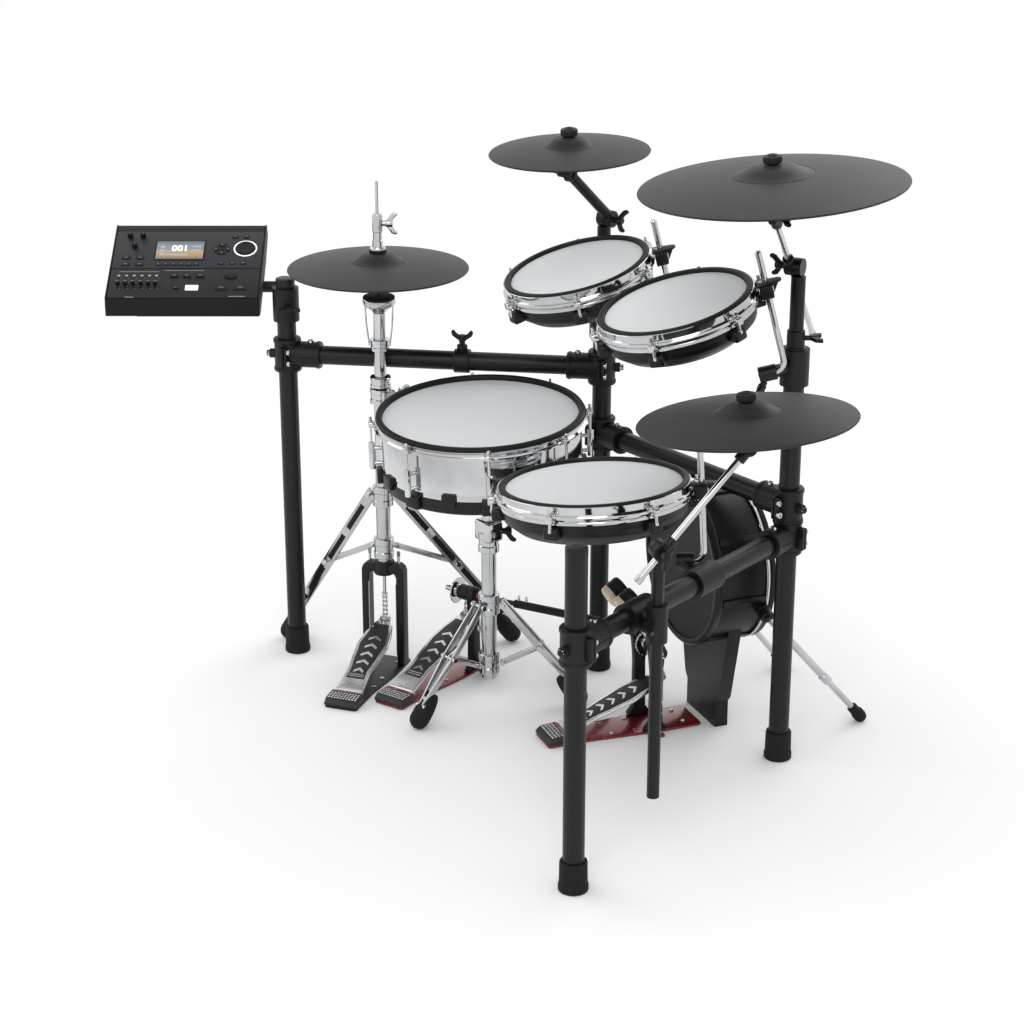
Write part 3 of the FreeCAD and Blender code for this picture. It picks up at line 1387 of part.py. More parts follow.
# Sound module on its arm
module_sizes = {
    "module_x": -663.0,
    "module_y": -322.0,
    "module_z": 775.0,
    "module_width": 293.4,
    "module_slope": 214.2,
    "module_lip": 35.1,
    "module_back": 27.0,
    "module_deep": 41.4,
    "panel_thick": 2.7,
    "panel_margin": 2.7,
    "screen_width": 90.9,
    "screen_height": 51.3,
    "screen_thick": 0.8,
    "key_gap": 0.3,
    "key_rise": 1.98,
    "key_sunk": 1.53,
    "small_key_width": 10.8,
    "small_key_height": 6.3,
    "middle_key_width": 16.2,
    "middle_key_height": 9.0,
    "wide_key_width": 25.2,
    "wide_key_height": 13.5,
    "round_key_d": 9.0,
    "pad_ring_d": 24.3,
    "knob_d": 10.8,
    "knob_height": 10.8,
    "dial_d": 36.0,
    "dial_height": 8.1,
    "spindle_d": 5.4,
    "fader_slot_width": 2.7,
    "fader_slot": 36.0,
    "fader_width": 8.1,
    "fader_length": 9.9,
    "fader_height": 7.2,
    "bracket_span": 54.0,
    "bracket_deep": 36.0,
    "module_axis_drop": 66.6,
    "module_arm_d": 22.0,
    "module_arm_left": 40.0,
    "module_arm_clear": 25.0,
}
S.add(module_sizes)
small_key_shares = ([(0.315 + 0.05 * number, 0.55) for number in range(6)]
                    + [(0.80, 0.175), (0.875, 0.175), (0.725, 0.535), (0.80, 0.535), (0.87, 0.535), (0.45, 0.86)])
middle_key_shares = [(0.10, 0.46), (0.19, 0.46), (0.10, 0.55), (0.19, 0.55), (0.43, 0.70), (0.515, 0.70), (0.60, 0.70)]
wide_key_shares = [(0.555, 0.86), (0.80, 0.70), (0.745, 0.855), (0.87, 0.855)]
pad_share = (0.72, 0.34)
dial_share = (0.875, 0.335)
knob_shares = [(0.105, 0.18), (0.19, 0.18), (0.145, 0.32)]
fader_shares = [(0.07, 0.80), (0.12, 0.80), (0.17, 0.80), (0.22, 0.80), (0.27, 0.80), (0.315, 0.80)]
screen_share = (0.445, 0.355)
module_normal = Vector(0.357, -0.282, 0.890).normalize()
module_across = Vector(0.62, 0.785, 0)
module_place = frame((S.module_x, S.module_y, S.module_z), module_normal, module_across)


def on_panel(share, z):
    # point above the panel, its shares counted from the back left corner
    x = S.module_width * (share[0] - 0.5)
    y = S.module_slope * (0.5 - share[1])
    return (x, y, z)


half_slope = S.module_slope / 2
down = module_place.Rotation.inverted().multVec(Vector(0, 0, -1))
lip_y = S.module_lip * down.y - half_slope
lip_z = S.module_lip * down.z
profile = [
    (-half_slope, -S.panel_thick), (half_slope, -S.panel_thick), (half_slope, -S.module_back),
    (half_slope / 3, -S.module_deep), (lip_y * 0.85, -S.module_deep), (lip_y, lip_z),
]
case = plate(profile, S.module_width)
sideways = FreeCAD.Placement(Vector(-float(S.module_width) / 2, 0, 0),
                             FreeCAD.Rotation(Vector(0, 1, 0), Vector(0, 0, 1), Vector(1, 0, 0), "ZXY"))
moved(case, sideways)
arm_r = S.module_arm_d / 2
bracket_height = S.module_axis_drop + arm_r + S.clamp_wall - S.module_deep
bracket = block(S.bracket_span, S.bracket_deep, bracket_height, (0, 0, -S.module_deep - bracket_height))
axis_start = (-S.module_width / 2, 0, -S.module_axis_drop)
gripped = cut(fuse([case, bracket]), [cylinder(arm_r + S.running_gap, S.module_width, axis_start, (1, 0, 0))])
under = wing_bolt((0, 0, -S.module_deep - bracket_height), (0, 0, -1))
node("module_case", [gripped, under], module_place)

keys = []
openings = []
for shares, wide, tall in ((small_key_shares, S.small_key_width, S.small_key_height),
                           (middle_key_shares, S.middle_key_width, S.middle_key_height),
                           (wide_key_shares, S.wide_key_width, S.wide_key_height)):
    for share in shares:
        keys.append(block(wide, tall, S.key_rise + S.key_sunk, on_panel(share, -S.key_sunk)))
        openings.append(block(wide + S.key_gap * 2, tall + S.key_gap * 2, S.panel_thick * 3,
                              on_panel(share, -S.panel_thick * 2)))
pad_x, pad_y, level = on_panel(pad_share, -S.key_sunk)
pad_r = S.pad_ring_d / 2
for step_x, step_y in ((0, 0), (1, 0), (0, 1), (-1, 0), (0, -1)):
    spot = (pad_x + pad_r * step_x, pad_y + pad_r * step_y)
    keys.append(cylinder(S.round_key_d / 2, S.key_rise + S.key_sunk, (*spot, level)))
    openings.append(cylinder(S.round_key_d / 2 + S.key_gap, S.panel_thick * 3, (*spot, -S.panel_thick * 2)))
faders = []
for share in fader_shares:
    x, y, z = on_panel(share, 0)
    stem = block(S.fader_slot_width - S.key_gap * 2, S.fader_length, S.panel_thick, (x, y, S.key_gap - S.panel_thick))
    cap = block(S.fader_width, S.fader_length, S.fader_height, (x, y, S.key_gap))
    faders.append(fuse([stem, cap]))
    openings.append(block(S.fader_slot_width, S.fader_slot, S.panel_thick * 3, (x, y, -S.panel_thick * 2)))
spindle_r = S.spindle_d / 2
for share in (*knob_shares, dial_share):
    x, y, z = on_panel(share, 0)
    openings.append(cylinder(spindle_r + S.running_gap, S.panel_thick * 3, (x, y, -S.panel_thick * 2)))
panel = block(S.module_width - S.panel_margin, S.module_slope - S.panel_margin, S.panel_thick, (0, 0, -S.panel_thick))
node("module_panel", [cut(panel, openings)], module_place)
node("module_screen", [block(S.screen_width, S.screen_height, S.screen_thick, on_panel(screen_share, 0))], module_place)
node("module_keys", keys, module_place)
node("module_faders", faders, module_place)


def knob(name, share, diameter, height):
    # knob just above the panel on a spindle that turns in it
    x, y, z = on_panel(share, 0)
    cap = cone(diameter / 2, diameter * 0.46, height, (x, y, S.key_gap))
    spindle = cylinder(spindle_r, S.panel_thick, (x, y, S.key_gap - S.panel_thick))
    node(name, [fuse([cap, spindle])], module_place)
    hinge(name + "_turn", module_place.multVec(vec((x, y, z))), module_normal)


for number, share in enumerate(knob_shares):
    knob("module_knob_" + ("left", "right", "low")[number], share, S.knob_d, S.knob_height)
knob("module_dial", dial_share, S.dial_d, S.dial_height)
module_axis = module_place.multVec(vec((0, 0, -S.module_axis_drop)))
hinge("module_tilt", module_axis, module_across)
slide("module_keys_press", -module_normal)
slide("module_faders_move", module_place.Rotation.multVec(Vector(0, 1, 0)))
elbow = module_axis + module_across * float(S.module_width / 2 + S.module_arm_clear)
post_at = at_height(posts["left"], module_axis.z)
arm = fuse([
    rod(module_axis - module_across * float(S.module_arm_left), elbow, arm_r),
    ball(arm_r, elbow),
    rod(elbow, post_at, arm_r),
    cylinder(sleeve_r, S.clamp_height, post_at - Vector(0, 0, float(half_clamp))),
])
node("module_arm", [cut(arm, [cylinder(pipe_r + S.fit_gap, S.clamp_height * 2,
                                       post_at - Vector(0, 0, float(S.clamp_height)))])])
outward = heading(elbow, post_at)
bolts.append(wing_bolt(post_at + outward * float(sleeve_r), outward, 90))
node("rack_clamps", clamps)
node("clamp_wing_bolts", bolts)

# Check every object, then write one STEP file for each node
doc.recompute()
failed = [thing.Name for thing in doc.Objects if "Invalid" in thing.State or "Error" in thing.State]
for thing in nodes:
    if thing.Shape.isNull() or not thing.Shape.isValid() or not thing.Shape.Solids:
        failed.append(thing.Label)
if failed:
    raise RuntimeError("not built: " + ", ".join(failed))
os.makedirs("parts", exist_ok=True)
box = FreeCAD.BoundBox()
for thing in nodes:
    thing.Shape.exportStep("parts/%s.step" % thing.Label)
    box.add(thing.Shape.optimalBoundingBox(False))
for name, kind, point, axis in joints:
    print("joint %s %s at (%.3f, %.3f, %.3f) along (%.5f, %.5f, %.5f)" % (name, kind, *point, *axis))
print("%d nodes, size %.1f x %.1f x %.1f mm, middle (%.1f, %.1f), low %.2f" % (
    len(nodes), box.XLength, box.YLength, box.ZLength, box.Center.x, box.Center.y, box.ZMin))
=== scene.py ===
import bpy
import math
from mathutils import Matrix, Vector


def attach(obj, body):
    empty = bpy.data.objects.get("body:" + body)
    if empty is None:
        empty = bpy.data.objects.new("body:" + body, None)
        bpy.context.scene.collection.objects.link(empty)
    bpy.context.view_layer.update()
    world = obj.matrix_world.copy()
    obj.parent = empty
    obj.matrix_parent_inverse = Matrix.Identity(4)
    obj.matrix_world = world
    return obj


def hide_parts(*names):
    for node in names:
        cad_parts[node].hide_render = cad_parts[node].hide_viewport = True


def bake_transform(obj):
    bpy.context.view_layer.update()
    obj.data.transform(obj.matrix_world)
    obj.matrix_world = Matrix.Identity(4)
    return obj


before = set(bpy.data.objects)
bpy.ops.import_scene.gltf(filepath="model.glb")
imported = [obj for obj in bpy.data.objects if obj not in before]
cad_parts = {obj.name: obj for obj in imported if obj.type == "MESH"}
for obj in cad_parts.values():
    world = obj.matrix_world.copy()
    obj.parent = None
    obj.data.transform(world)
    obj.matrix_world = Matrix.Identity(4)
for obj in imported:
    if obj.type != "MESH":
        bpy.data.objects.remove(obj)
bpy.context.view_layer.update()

scene = bpy.context.scene
scene.view_settings.view_transform = "Standard"
materialBook = {}
shift = Matrix.Translation


def newMaterial(name, colour, roughness, metallic=0.0, coat=0.0, specular=0.5, sheen=0.0):
    material = bpy.data.materials.new(name)
    material.use_nodes = True
    shader = material.node_tree.nodes["Principled BSDF"]
    values = {"Base Color": (*colour, 1.0), "Roughness": roughness, "Metallic": metallic,
              "Coat Weight": coat, "Specular IOR Level": specular, "Sheen Weight": sheen}
    for key, value in values.items():
        shader.inputs[key].default_value = value
    materialBook[name] = material
    return material.node_tree, shader


def addNode(tree, kind, inputs=None, **settings):
    node = tree.nodes.new(kind)
    for key, value in settings.items():
        setattr(node, key, value)
    for key, value in (inputs or {}).items():
        node.inputs[key].default_value = value
    return node


def wireUp(tree, source, outName, target, inName):
    tree.links.new(source.outputs[outName], target.inputs[inName])


def kitCoords(tree, **mapping):
    # object coordinates through a mapping node
    coords = addNode(tree, "ShaderNodeTexCoord")
    place = addNode(tree, "ShaderNodeMapping", mapping)
    wireUp(tree, coords, "Object", place, "Vector")
    return place


def objectNoise(tree, scale, detail=4.0, rough=0.55, stretch=(1, 1, 1)):
    place = kitCoords(tree, Scale=stretch)
    noise = addNode(tree, "ShaderNodeTexNoise",
                    {"Scale": scale, "Detail": detail, "Roughness": rough})
    wireUp(tree, place, "Vector", noise, "Vector")
    return noise


def colourRamp(tree, stops):
    ramp = addNode(tree, "ShaderNodeValToRGB")
    marks = ramp.color_ramp.elements
    marks[0].position, marks[1].position = stops[0][0], stops[-1][0]
    for position, colour in stops[1:-1]:
        marks.new(position).color = (*colour, 1.0)
    marks[0].color, marks[-1].color = (*stops[0][1], 1.0), (*stops[-1][1], 1.0)
    return ramp


def varyColour(tree, shader, source, outName, dark, light, low=0.3, high=0.7):
    ramp = colourRamp(tree, [(low, dark), (high, light)])
    wireUp(tree, source, outName, ramp, "Fac")
    wireUp(tree, ramp, "Color", shader, "Base Color")


def varyRoughness(tree, shader, source, low, high):
    spread = addNode(tree, "ShaderNodeMapRange", {"To Min": low, "To Max": high})
    wireUp(tree, source, "Fac", spread, "Value")
    wireUp(tree, spread, "Result", shader, "Roughness")


def addBump(tree, shader, source, outName, strength, distance):
    bump = addNode(tree, "ShaderNodeBump", {"Strength": strength, "Distance": distance})
    wireUp(tree, source, outName, bump, "Height")
    wireUp(tree, bump, "Normal", shader, "Normal")


def grainedFinish(name, dark, light, rough, grain, depth, **gloss):
    # cast or moulded finish: mottled colour and gloss, with a fine grain
    tree, shader = newMaterial(name, light, rough[0], **gloss)
    cloud = objectNoise(tree, grain * 0.12)
    varyColour(tree, shader, cloud, "Fac", dark, light)
    varyRoughness(tree, shader, cloud, *rough)
    addBump(tree, shader, objectNoise(tree, grain, 3.0), "Fac", depth, 0.0004)


def cymbalRubber(name, centre):
    # moulded cymbal rubber with faint turned rings about its middle
    dark, light = (0.0100, 0.0100, 0.0112), (0.0145, 0.0145, 0.0158)
    tree, shader = newMaterial(name, light, 0.5, specular=0.26, sheen=0.05)
    place = kitCoords(tree, Location=(-centre[0], -centre[1], 0))
    rings = addNode(tree, "ShaderNodeTexWave", {"Scale": 90.0, "Distortion": 0.4},
                    wave_type="RINGS", rings_direction="Z")
    wireUp(tree, place, "Vector", rings, "Vector")
    varyColour(tree, shader, objectNoise(tree, 26.0), "Fac", dark, light)
    varyRoughness(tree, shader, rings, 0.42, 0.56)
    addBump(tree, shader, rings, "Fac", 0.08, 0.0004)


def meshSkin(name, dark, light):
    # woven mesh drum head
    tree, shader = newMaterial(name, light, 0.7, specular=0.25)
    coords = addNode(tree, "ShaderNodeTexCoord")
    weave = addNode(tree, "ShaderNodeMath", operation="MAXIMUM")
    for number, direction in enumerate(("X", "Y")):
        wave = addNode(tree, "ShaderNodeTexWave", {"Scale": 210.0}, bands_direction=direction)
        wireUp(tree, coords, "Object", wave, "Vector")
        wireUp(tree, wave, "Fac", weave, number)
    varyColour(tree, shader, weave, "Value", dark, light, 0.2, 0.9)
    addBump(tree, shader, weave, "Value", 0.25, 0.0003)


def polishedMetal(name, dark, light, rough, scratch=(1, 1, 1)):
    tree, shader = newMaterial(name, light, rough[0], 1.0)
    varyColour(tree, shader, objectNoise(tree, 9.0), "Fac", dark, light)
    varyRoughness(tree, shader, objectNoise(tree, 320.0, 5.0, 0.7, scratch), *rough)


grainedFinish("satinBlack", (0.0035, 0.0035, 0.0040), (0.0060, 0.0060, 0.0066), (0.30, 0.42),
              900.0, 0.10, specular=0.30)
grainedFinish("castBlack", (0.0030, 0.0030, 0.0034), (0.0056, 0.0056, 0.0060), (0.36, 0.52),
              1400.0, 0.22, specular=0.30)
grainedFinish("shellBlack", (0.0030, 0.0030, 0.0034), (0.0056, 0.0056, 0.0060), (0.30, 0.44),
              1600.0, 0.12, specular=0.30)
grainedFinish("footRubber", (0.0050, 0.0050, 0.0050), (0.0095, 0.0095, 0.0095), (0.60, 0.78),
              1100.0, 0.3, specular=0.22)
grainedFinish("rimRubber", (0.0035, 0.0035, 0.0038), (0.0060, 0.0060, 0.0064), (0.42, 0.56),
              1500.0, 0.2, specular=0.24)
grainedFinish("casePlastic", (0.0080, 0.0080, 0.0086), (0.0120, 0.0120, 0.0130), (0.42, 0.55),
              2400.0, 0.25, specular=0.14)
grainedFinish("redPaint", (0.145, 0.0040, 0.0075), (0.205, 0.0060, 0.0105), (0.22, 0.32),
              500.0, 0.05, metallic=0.3, coat=0.5)
grainedFinish("headBlack", (0.010, 0.010, 0.011), (0.018, 0.018, 0.019), (0.6, 0.75), 2600.0, 0.35)
grainedFinish("boardBlack", (0.008, 0.008, 0.009), (0.013, 0.013, 0.014), (0.45, 0.6), 1200.0, 0.2)
grainedFinish("creamFelt", (0.50, 0.40, 0.27), (0.64, 0.54, 0.40), (0.85, 0.95), 1800.0, 0.6,
              specular=0.1, sheen=0.6)
polishedMetal("chrome", (0.44, 0.45, 0.46), (0.62, 0.63, 0.64), (0.05, 0.11))
polishedMetal("brushedSteel", (0.42, 0.43, 0.45), (0.60, 0.61, 0.63), (0.24, 0.36), (1, 1, 12))
polishedMetal("darkSteel", (0.05, 0.05, 0.055), (0.11, 0.11, 0.115), (0.22, 0.34))
polishedMetal("boardAlloy", (0.56, 0.57, 0.58), (0.74, 0.75, 0.76), (0.2, 0.32))
polishedMetal("legAlloy", (0.40, 0.41, 0.42), (0.56, 0.57, 0.58), (0.14, 0.26))
polishedMetal("brassScrew", (0.50, 0.47, 0.42), (0.66, 0.63, 0.58), (0.14, 0.26))
meshSkin("whiteMesh", (0.60, 0.63, 0.64), (0.76, 0.79, 0.80))
print("finishes made:", len(materialBook))

# solids that show as they are
nodeFinish = {"rack_crossbars": "satinBlack", "cymbal_pipes": "satinBlack",
              "kick_stand": "satinBlack", "rack_clamps": "castBlack",
              "clamp_wing_bolts": "castBlack", "module_arm": "castBlack"}
for nodeName, finish in nodeFinish.items():
    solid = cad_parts[nodeName]
    solid.data.materials.clear()
    solid.data.materials.append(materialBook[finish])
    solid.data.polygons.foreach_set("use_smooth", [True] * len(solid.data.polygons))
    solid.modifiers.new("merge", "WELD").merge_threshold = 0.00001
    solid.modifiers.new("split", "EDGE_SPLIT").split_angle = math.radians(32)
print("solids dressed:", len(nodeFinish))


# shared ways of modelling: each gives a painted part, put in its place
def deselectAll():
    if bpy.context.object and bpy.context.object.mode != "OBJECT":
        bpy.ops.object.mode_set(mode="OBJECT")
    bpy.ops.object.select_all(action="DESELECT")


def pickOnly(piece):
    deselectAll()
    piece.select_set(True)
    bpy.context.view_layer.objects.active = piece


def moved(piece, place):
    if place is not None:
        piece.data.transform(place)
    return piece


def paint(piece, finish, place=None):
    piece.data.materials.clear()
    piece.data.materials.append(materialBook[finish])
    return moved(piece, place)


def editAll():
    bpy.ops.object.mode_set(mode="EDIT")
    bpy.ops.mesh.select_all(action="SELECT")


def facedOut():
    bpy.ops.mesh.select_all(action="SELECT")
    bpy.ops.mesh.normals_make_consistent(inside=False)
    return settled()


def settled():
    # back to object mode with the piece's place in its mesh
    bpy.ops.object.mode_set(mode="OBJECT")
    bpy.ops.object.transform_apply(location=True, rotation=True, scale=True)
    return bpy.context.object


def placeAt(origin, up=(0, 0, 1), side=None):
    # matrix with its Z along up, and its X as near as can be to side
    zAxis = Vector(up).normalized()
    if side is None:
        side = (1, 0, 0) if abs(zAxis.x) < 0.9 else (0, 1, 0)
    xAxis = Vector(side) - zAxis * Vector(side).dot(zAxis)
    xAxis.normalize()
    yAxis = zAxis.cross(xAxis)
    return shift(Vector(origin)) @ Matrix((xAxis, yAxis, zAxis)).transposed().to_4x4()


def upright(x, y, z):
    # stands an outline up in X and Z, thickened towards minus Y
    return Matrix(((1, 0, 0, x), (0, 0, -1, y), (0, 1, 0, z), (0, 0, 0, 1)))


def sideways(x):
    # stands an outline up in Y and Z, thickened along X
    return Matrix(((0, 0, 1, x), (1, 0, 0, 0), (0, 1, 0, 0), (0, 0, 0, 1)))


def turnedBy(degrees):
    return Matrix.Rotation(math.radians(degrees), 4, "Z")


def atHeight(point, rise):
    return Vector((point[0], point[1], rise))


def mirrored(half, first=1):
    # outline from its right half, drawn upwards: it opens with the last few points of its left
    left = [(-x, y) for x, y in reversed(half)]
    return left[-first:] + half + left[:-first]


def offset(points, x=0.0, y=0.0):
    return [(x + across, y + up) for across, up in points]


def chamferRing(inner, outer, low, high, cut, fall):
    # steps of a plain ring with its two outer edges cut
    return [(inner, low), (outer - cut, low), (outer, low + fall), (outer, high - fall),
            (outer - cut, high), (inner, high)]


def arcOf(radius, turns, y=0.0):
    return [(radius * math.cos(math.radians(turn)), y + radius * math.sin(math.radians(turn)))
            for turn in turns]


def lathe(finish, steps, turns, closed=False, place=None):
    # a ring extruded and scaled from step to step of (radius, height)
    deselectAll()
    radius, height = steps[0]
    bpy.ops.mesh.primitive_circle_add(vertices=turns, radius=radius, location=(0, 0, height))
    editAll()
    for nextRadius, nextHeight in list(steps[1:]) + ([steps[0]] if closed else []):
        rise = (0, 0, nextHeight - height)
        bpy.ops.mesh.extrude_edges_move(TRANSFORM_OT_translate={"value": rise})
        share = nextRadius / radius
        bpy.ops.transform.resize(value=(share, share, 1), center_override=(0, 0, nextHeight))
        radius, height = nextRadius, nextHeight
    bpy.ops.mesh.select_all(action="SELECT")
    bpy.ops.mesh.remove_doubles(threshold=0.000002)
    if not closed:
        bpy.ops.mesh.fill_holes(sides=0)
    return paint(facedOut(), finish, place)


def bar(finish, start, end, radius, turns, edge=0.0):
    # bar between two points with bevelled ends
    start, run = Vector(start), Vector(end) - Vector(start)
    edge = edge or min(radius * 0.15, 0.001)
    steps = [(radius - edge, 0), (radius, edge), (radius, run.length - edge),
             (radius - edge, run.length)]
    return lathe(finish, steps, turns, place=placeAt(start, run))


def barStack(finish, x, y, z, runs):
    # bars on one upright line, each from low to high with its radius and turns
    return [bar(finish, (x, y, z + low), (x, y, z + high), radius, turns)
            for low, high, radius, turns in runs]


def bentBar(finish, points, radius, bends, turns=16):
    # bar along straight runs with rounded corners
    deselectAll()
    bpy.ops.curve.primitive_bezier_curve_add()
    curve = bpy.context.object
    points = [Vector(point) for point in points]
    spots = [(points[0], points[0], points[0])]
    for before, point, after in zip(points, points[1:], points[2:]):
        back = (before - point).normalized() * bends
        onward = (after - point).normalized() * bends
        spots.append((point + back, point + back, point + back * 0.45))
        spots.append((point + onward, point + onward * 0.45, point + onward))
    spots.append((points[-1], points[-1], points[-1]))
    spline = curve.data.splines[0]
    spline.bezier_points.add(len(spots) - 2)
    for knot, (at, left, right) in zip(spline.bezier_points, spots):
        knot.handle_left_type = knot.handle_right_type = "FREE"
        knot.co, knot.handle_left, knot.handle_right = at, left, right
    curve.data.dimensions = "3D"
    curve.data.bevel_depth = radius
    curve.data.bevel_resolution = turns // 4
    curve.data.resolution_u = 8
    curve.data.use_fill_caps = True
    pickOnly(curve)
    bpy.ops.object.convert(target="MESH")
    return paint(bpy.context.object, finish)


def bevelled(piece, width, segments, angle):
    pickOnly(piece)
    soften = piece.modifiers.new("soften", "BEVEL")
    soften.width = width
    soften.segments = segments
    soften.limit_method = "ANGLE"
    soften.angle_limit = math.radians(angle)
    bpy.ops.object.modifier_apply(modifier="soften")
    return piece


def block(finish, size, at, edge, segments=2, place=None):
    # block with rounded edges, centred on its place
    deselectAll()
    bpy.ops.mesh.primitive_cube_add(size=1, location=at)
    bpy.ops.transform.resize(value=size)
    return paint(bevelled(settled(), edge, segments, 30), finish, place)


def plate(finish, outline, thick, edge, segments=2, place=None):
    # outline in X and Y drawn as a ring of points, filled and thickened upwards
    deselectAll()
    bpy.ops.mesh.primitive_circle_add(vertices=len(outline), radius=1, fill_type="NGON")
    for corner, (x, y) in zip(bpy.context.object.data.vertices, outline):
        corner.co = (x, y, 0)
    editAll()
    bpy.ops.mesh.extrude_region_move(TRANSFORM_OT_translate={"value": (0, 0, thick)})
    piece = facedOut()
    return paint(bevelled(piece, edge, segments, 40) if edge else piece, finish, place)


def copyOf(piece, place):
    twin = piece.copy()
    twin.data = piece.data.copy()
    scene.collection.objects.link(twin)
    return moved(twin, place)


def copiedTo(piece, places):
    # copies of the piece at each place, without the piece itself
    copies = [copyOf(piece, place) for place in places]
    bpy.data.objects.remove(piece)
    return copies


def ringOf(piece, count, start=0.0):
    # the piece copied evenly round its Z axis
    return copiedTo(piece, [turnedBy(start + 360 / count * number) for number in range(count)])


def joined(pieces):
    deselectAll()
    for piece in pieces:
        piece.select_set(True)
    bpy.context.view_layer.objects.active = pieces[0]
    if len(pieces) > 1:
        bpy.ops.object.join()
    return bpy.context.object


def finished(name, pieces, place):
    # one smooth piece from painted parts
    piece = joined([moved(part, place) for part in pieces])
    piece.name = name
    pickOnly(piece)
    bpy.ops.object.shade_smooth_by_angle(angle=math.radians(35))
    return piece


def dress(name, pieces, body, replaced=(), place=None):
    # one finished piece tied to its body
    piece = finished(name, pieces, place)
    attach(piece, body)
    if replaced:
        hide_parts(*replaced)


# drum pads: rubber rim, woven head, two-tier hoop with claws, and a black bowl
drumHoop = {"rimHigh": 0.008, "rimWide": 0.0108, "hoopHigh": 0.026, "ledge": 0.004,
            "headDrop": 0.0066, "headThick": 0.0018, "lip": 0.0026, "claws": 6,
            "bowlDeep": 0.075, "bowlWaist": 0.054}
hoopTop = -drumHoop["rimHigh"]
hoopLow = hoopTop - drumHoop["hoopHigh"]
hoopMid = (hoopTop + hoopLow) / 2


def rubberRim(radius, drop):
    outer = radius - drumHoop["lip"]
    inner = outer - drumHoop["rimWide"]
    steps = offset([(0, -drop - 0.003), (0, -0.0022), (0.0010, -0.0007), (0.0028, 0)], inner)
    steps += offset([(-0.0032, 0), (-0.0012, -0.0010), (-0.0002, -0.0030), (0, -0.0078)], outer)
    return lathe("rimRubber", steps, 128, True)


def wovenHead(radius, drop):
    reach = radius - drumHoop["rimWide"] - drumHoop["lip"] - 0.0001
    top, under = -drop, -drop - drumHoop["headThick"]
    steps = [(0.002, top), (reach * 0.5, top), (reach - 0.004, top), (reach - 0.001, top + 0.0004),
             (reach, under), (reach * 0.5, under), (0.002, under)]
    return lathe("whiteMesh", steps, 128)


def tierHoop(radius):
    # pressed hoop: lower band rolled out, flange in the middle, upper band with a lip
    lower = [(-0.0095, 0.001), (-0.004, 0.0), (-0.0012, 0.0006), (-0.0014, 0.0042),
             (-0.0030, 0.0068)]
    flange = [(-0.0020, -0.0036), (0.0026, -0.0032), (0.0039, -0.0012), (0.0039, 0.0014),
              (0.0026, 0.0034), (0.0002, 0.0042), (-0.0012, 0.0062)]
    upper = [(-0.0010, -0.0010), (-0.0004, 0.0030), (-0.0002, 0.0044), (-0.0010, 0.0052),
             (-0.0022, 0.0050), (-0.0027, 0.0040), (-0.0028, 0.0), (-0.0095, 0.0)]
    steps = offset(lower, radius, hoopLow) + offset(flange, radius, hoopMid)
    steps += offset(upper, radius, hoopTop)
    return lathe("chrome", steps, 128, True)


def hoopClaw(radius):
    # claw over the flange with its tension screw, washer and nut
    reach = radius + drumHoop["ledge"] + 0.006
    parts = [block("chrome", (0.0135, 0.014, 0.0125), (reach, 0, hoopMid - 0.0005), 0.0022, 3),
             block("chrome", (0.008, 0.010, 0.005), (radius + 0.0028, 0, hoopMid + 0.0056), 0.0014)]
    parts += barStack("brassScrew", reach, 0, hoopMid,
                      [(-0.0225, 0.008, 0.0029, 14), (0.008, 0.0105, 0.0046, 16),
                       (0.0105, 0.0172, 0.0030, 4), (-0.0225, -0.0165, 0.0042, 6)])
    return joined(parts)


def padBowl(radius):
    # moulded bowl under the hoop, its side pulled in to a narrower floor
    floor, waist = -drumHoop["bowlDeep"], -drumHoop["bowlWaist"]
    outer = radius - 0.006
    foot = outer - 0.022
    steps = [(0.004, floor), (foot - 0.006, floor), (foot - 0.001, floor + 0.0015)]
    steps += offset([(-0.002, -0.002), (0, 0.002)], outer, waist)
    collar = [(0, -0.010), (0.0016, -0.008), (0.0016, -0.001), (0, 0), (-0.004, 0)]
    steps += offset(collar, outer, hoopLow)
    return lathe("shellBlack", steps, 128)


def padHanger(radius, drop):
    # chrome rod in its black bracket, with a wing screw
    rodAt = radius + drumHoop["ledge"] + 0.013
    rod = bentBar("chrome", [(rodAt, 0, 0.046), (rodAt, 0, -drop), (rodAt - 0.034, 0, -drop)],
                  0.0055, 0.018)
    tip = lathe("chrome", [(0.0055, 0), (0.0058, 0.001), (0.0058, 0.003), (0.0040, 0.0055)], 24,
                place=shift((rodAt, 0, 0.0435)))
    bracket = block("castBlack", (0.022, 0.034, 0.024), (rodAt - 0.0005, 0, hoopMid), 0.003, 3)
    tongue = [(0.002, -0.017), (0.040, -0.009), (0.044, -0.004), (0.044, 0.004), (0.040, 0.009),
              (0.002, 0.017)]
    tongueTop = plate("castBlack", offset(tongue, radius), 0.0035, 0.0012,
                      place=shift((0, 0, hoopMid + 0.0112)))
    gusset = [(0.020, -0.012), (0.028, -0.012), (0.042, 0.0115), (0.020, 0.0115)]
    cheek = plate("castBlack", offset(gusset, radius, hoopMid), 0.004, 0.0012,
                  place=upright(0, 0.013, 0))
    wingHalf = [(0.004, 0), (0.016, 0.012), (0.018, 0.024), (0.012, 0.024), (0.005, 0.012)]
    wingPlace = placeAt((rodAt + 0.012, 0, hoopMid), (0, 1, 0), (0, 0, -1)) @ shift((0, 0, -0.002))
    wing = plate("chrome", mirrored(wingHalf), 0.004, 0.0012, place=wingPlace)
    return [rod, tip, bracket, tongueTop, cheek, wing]


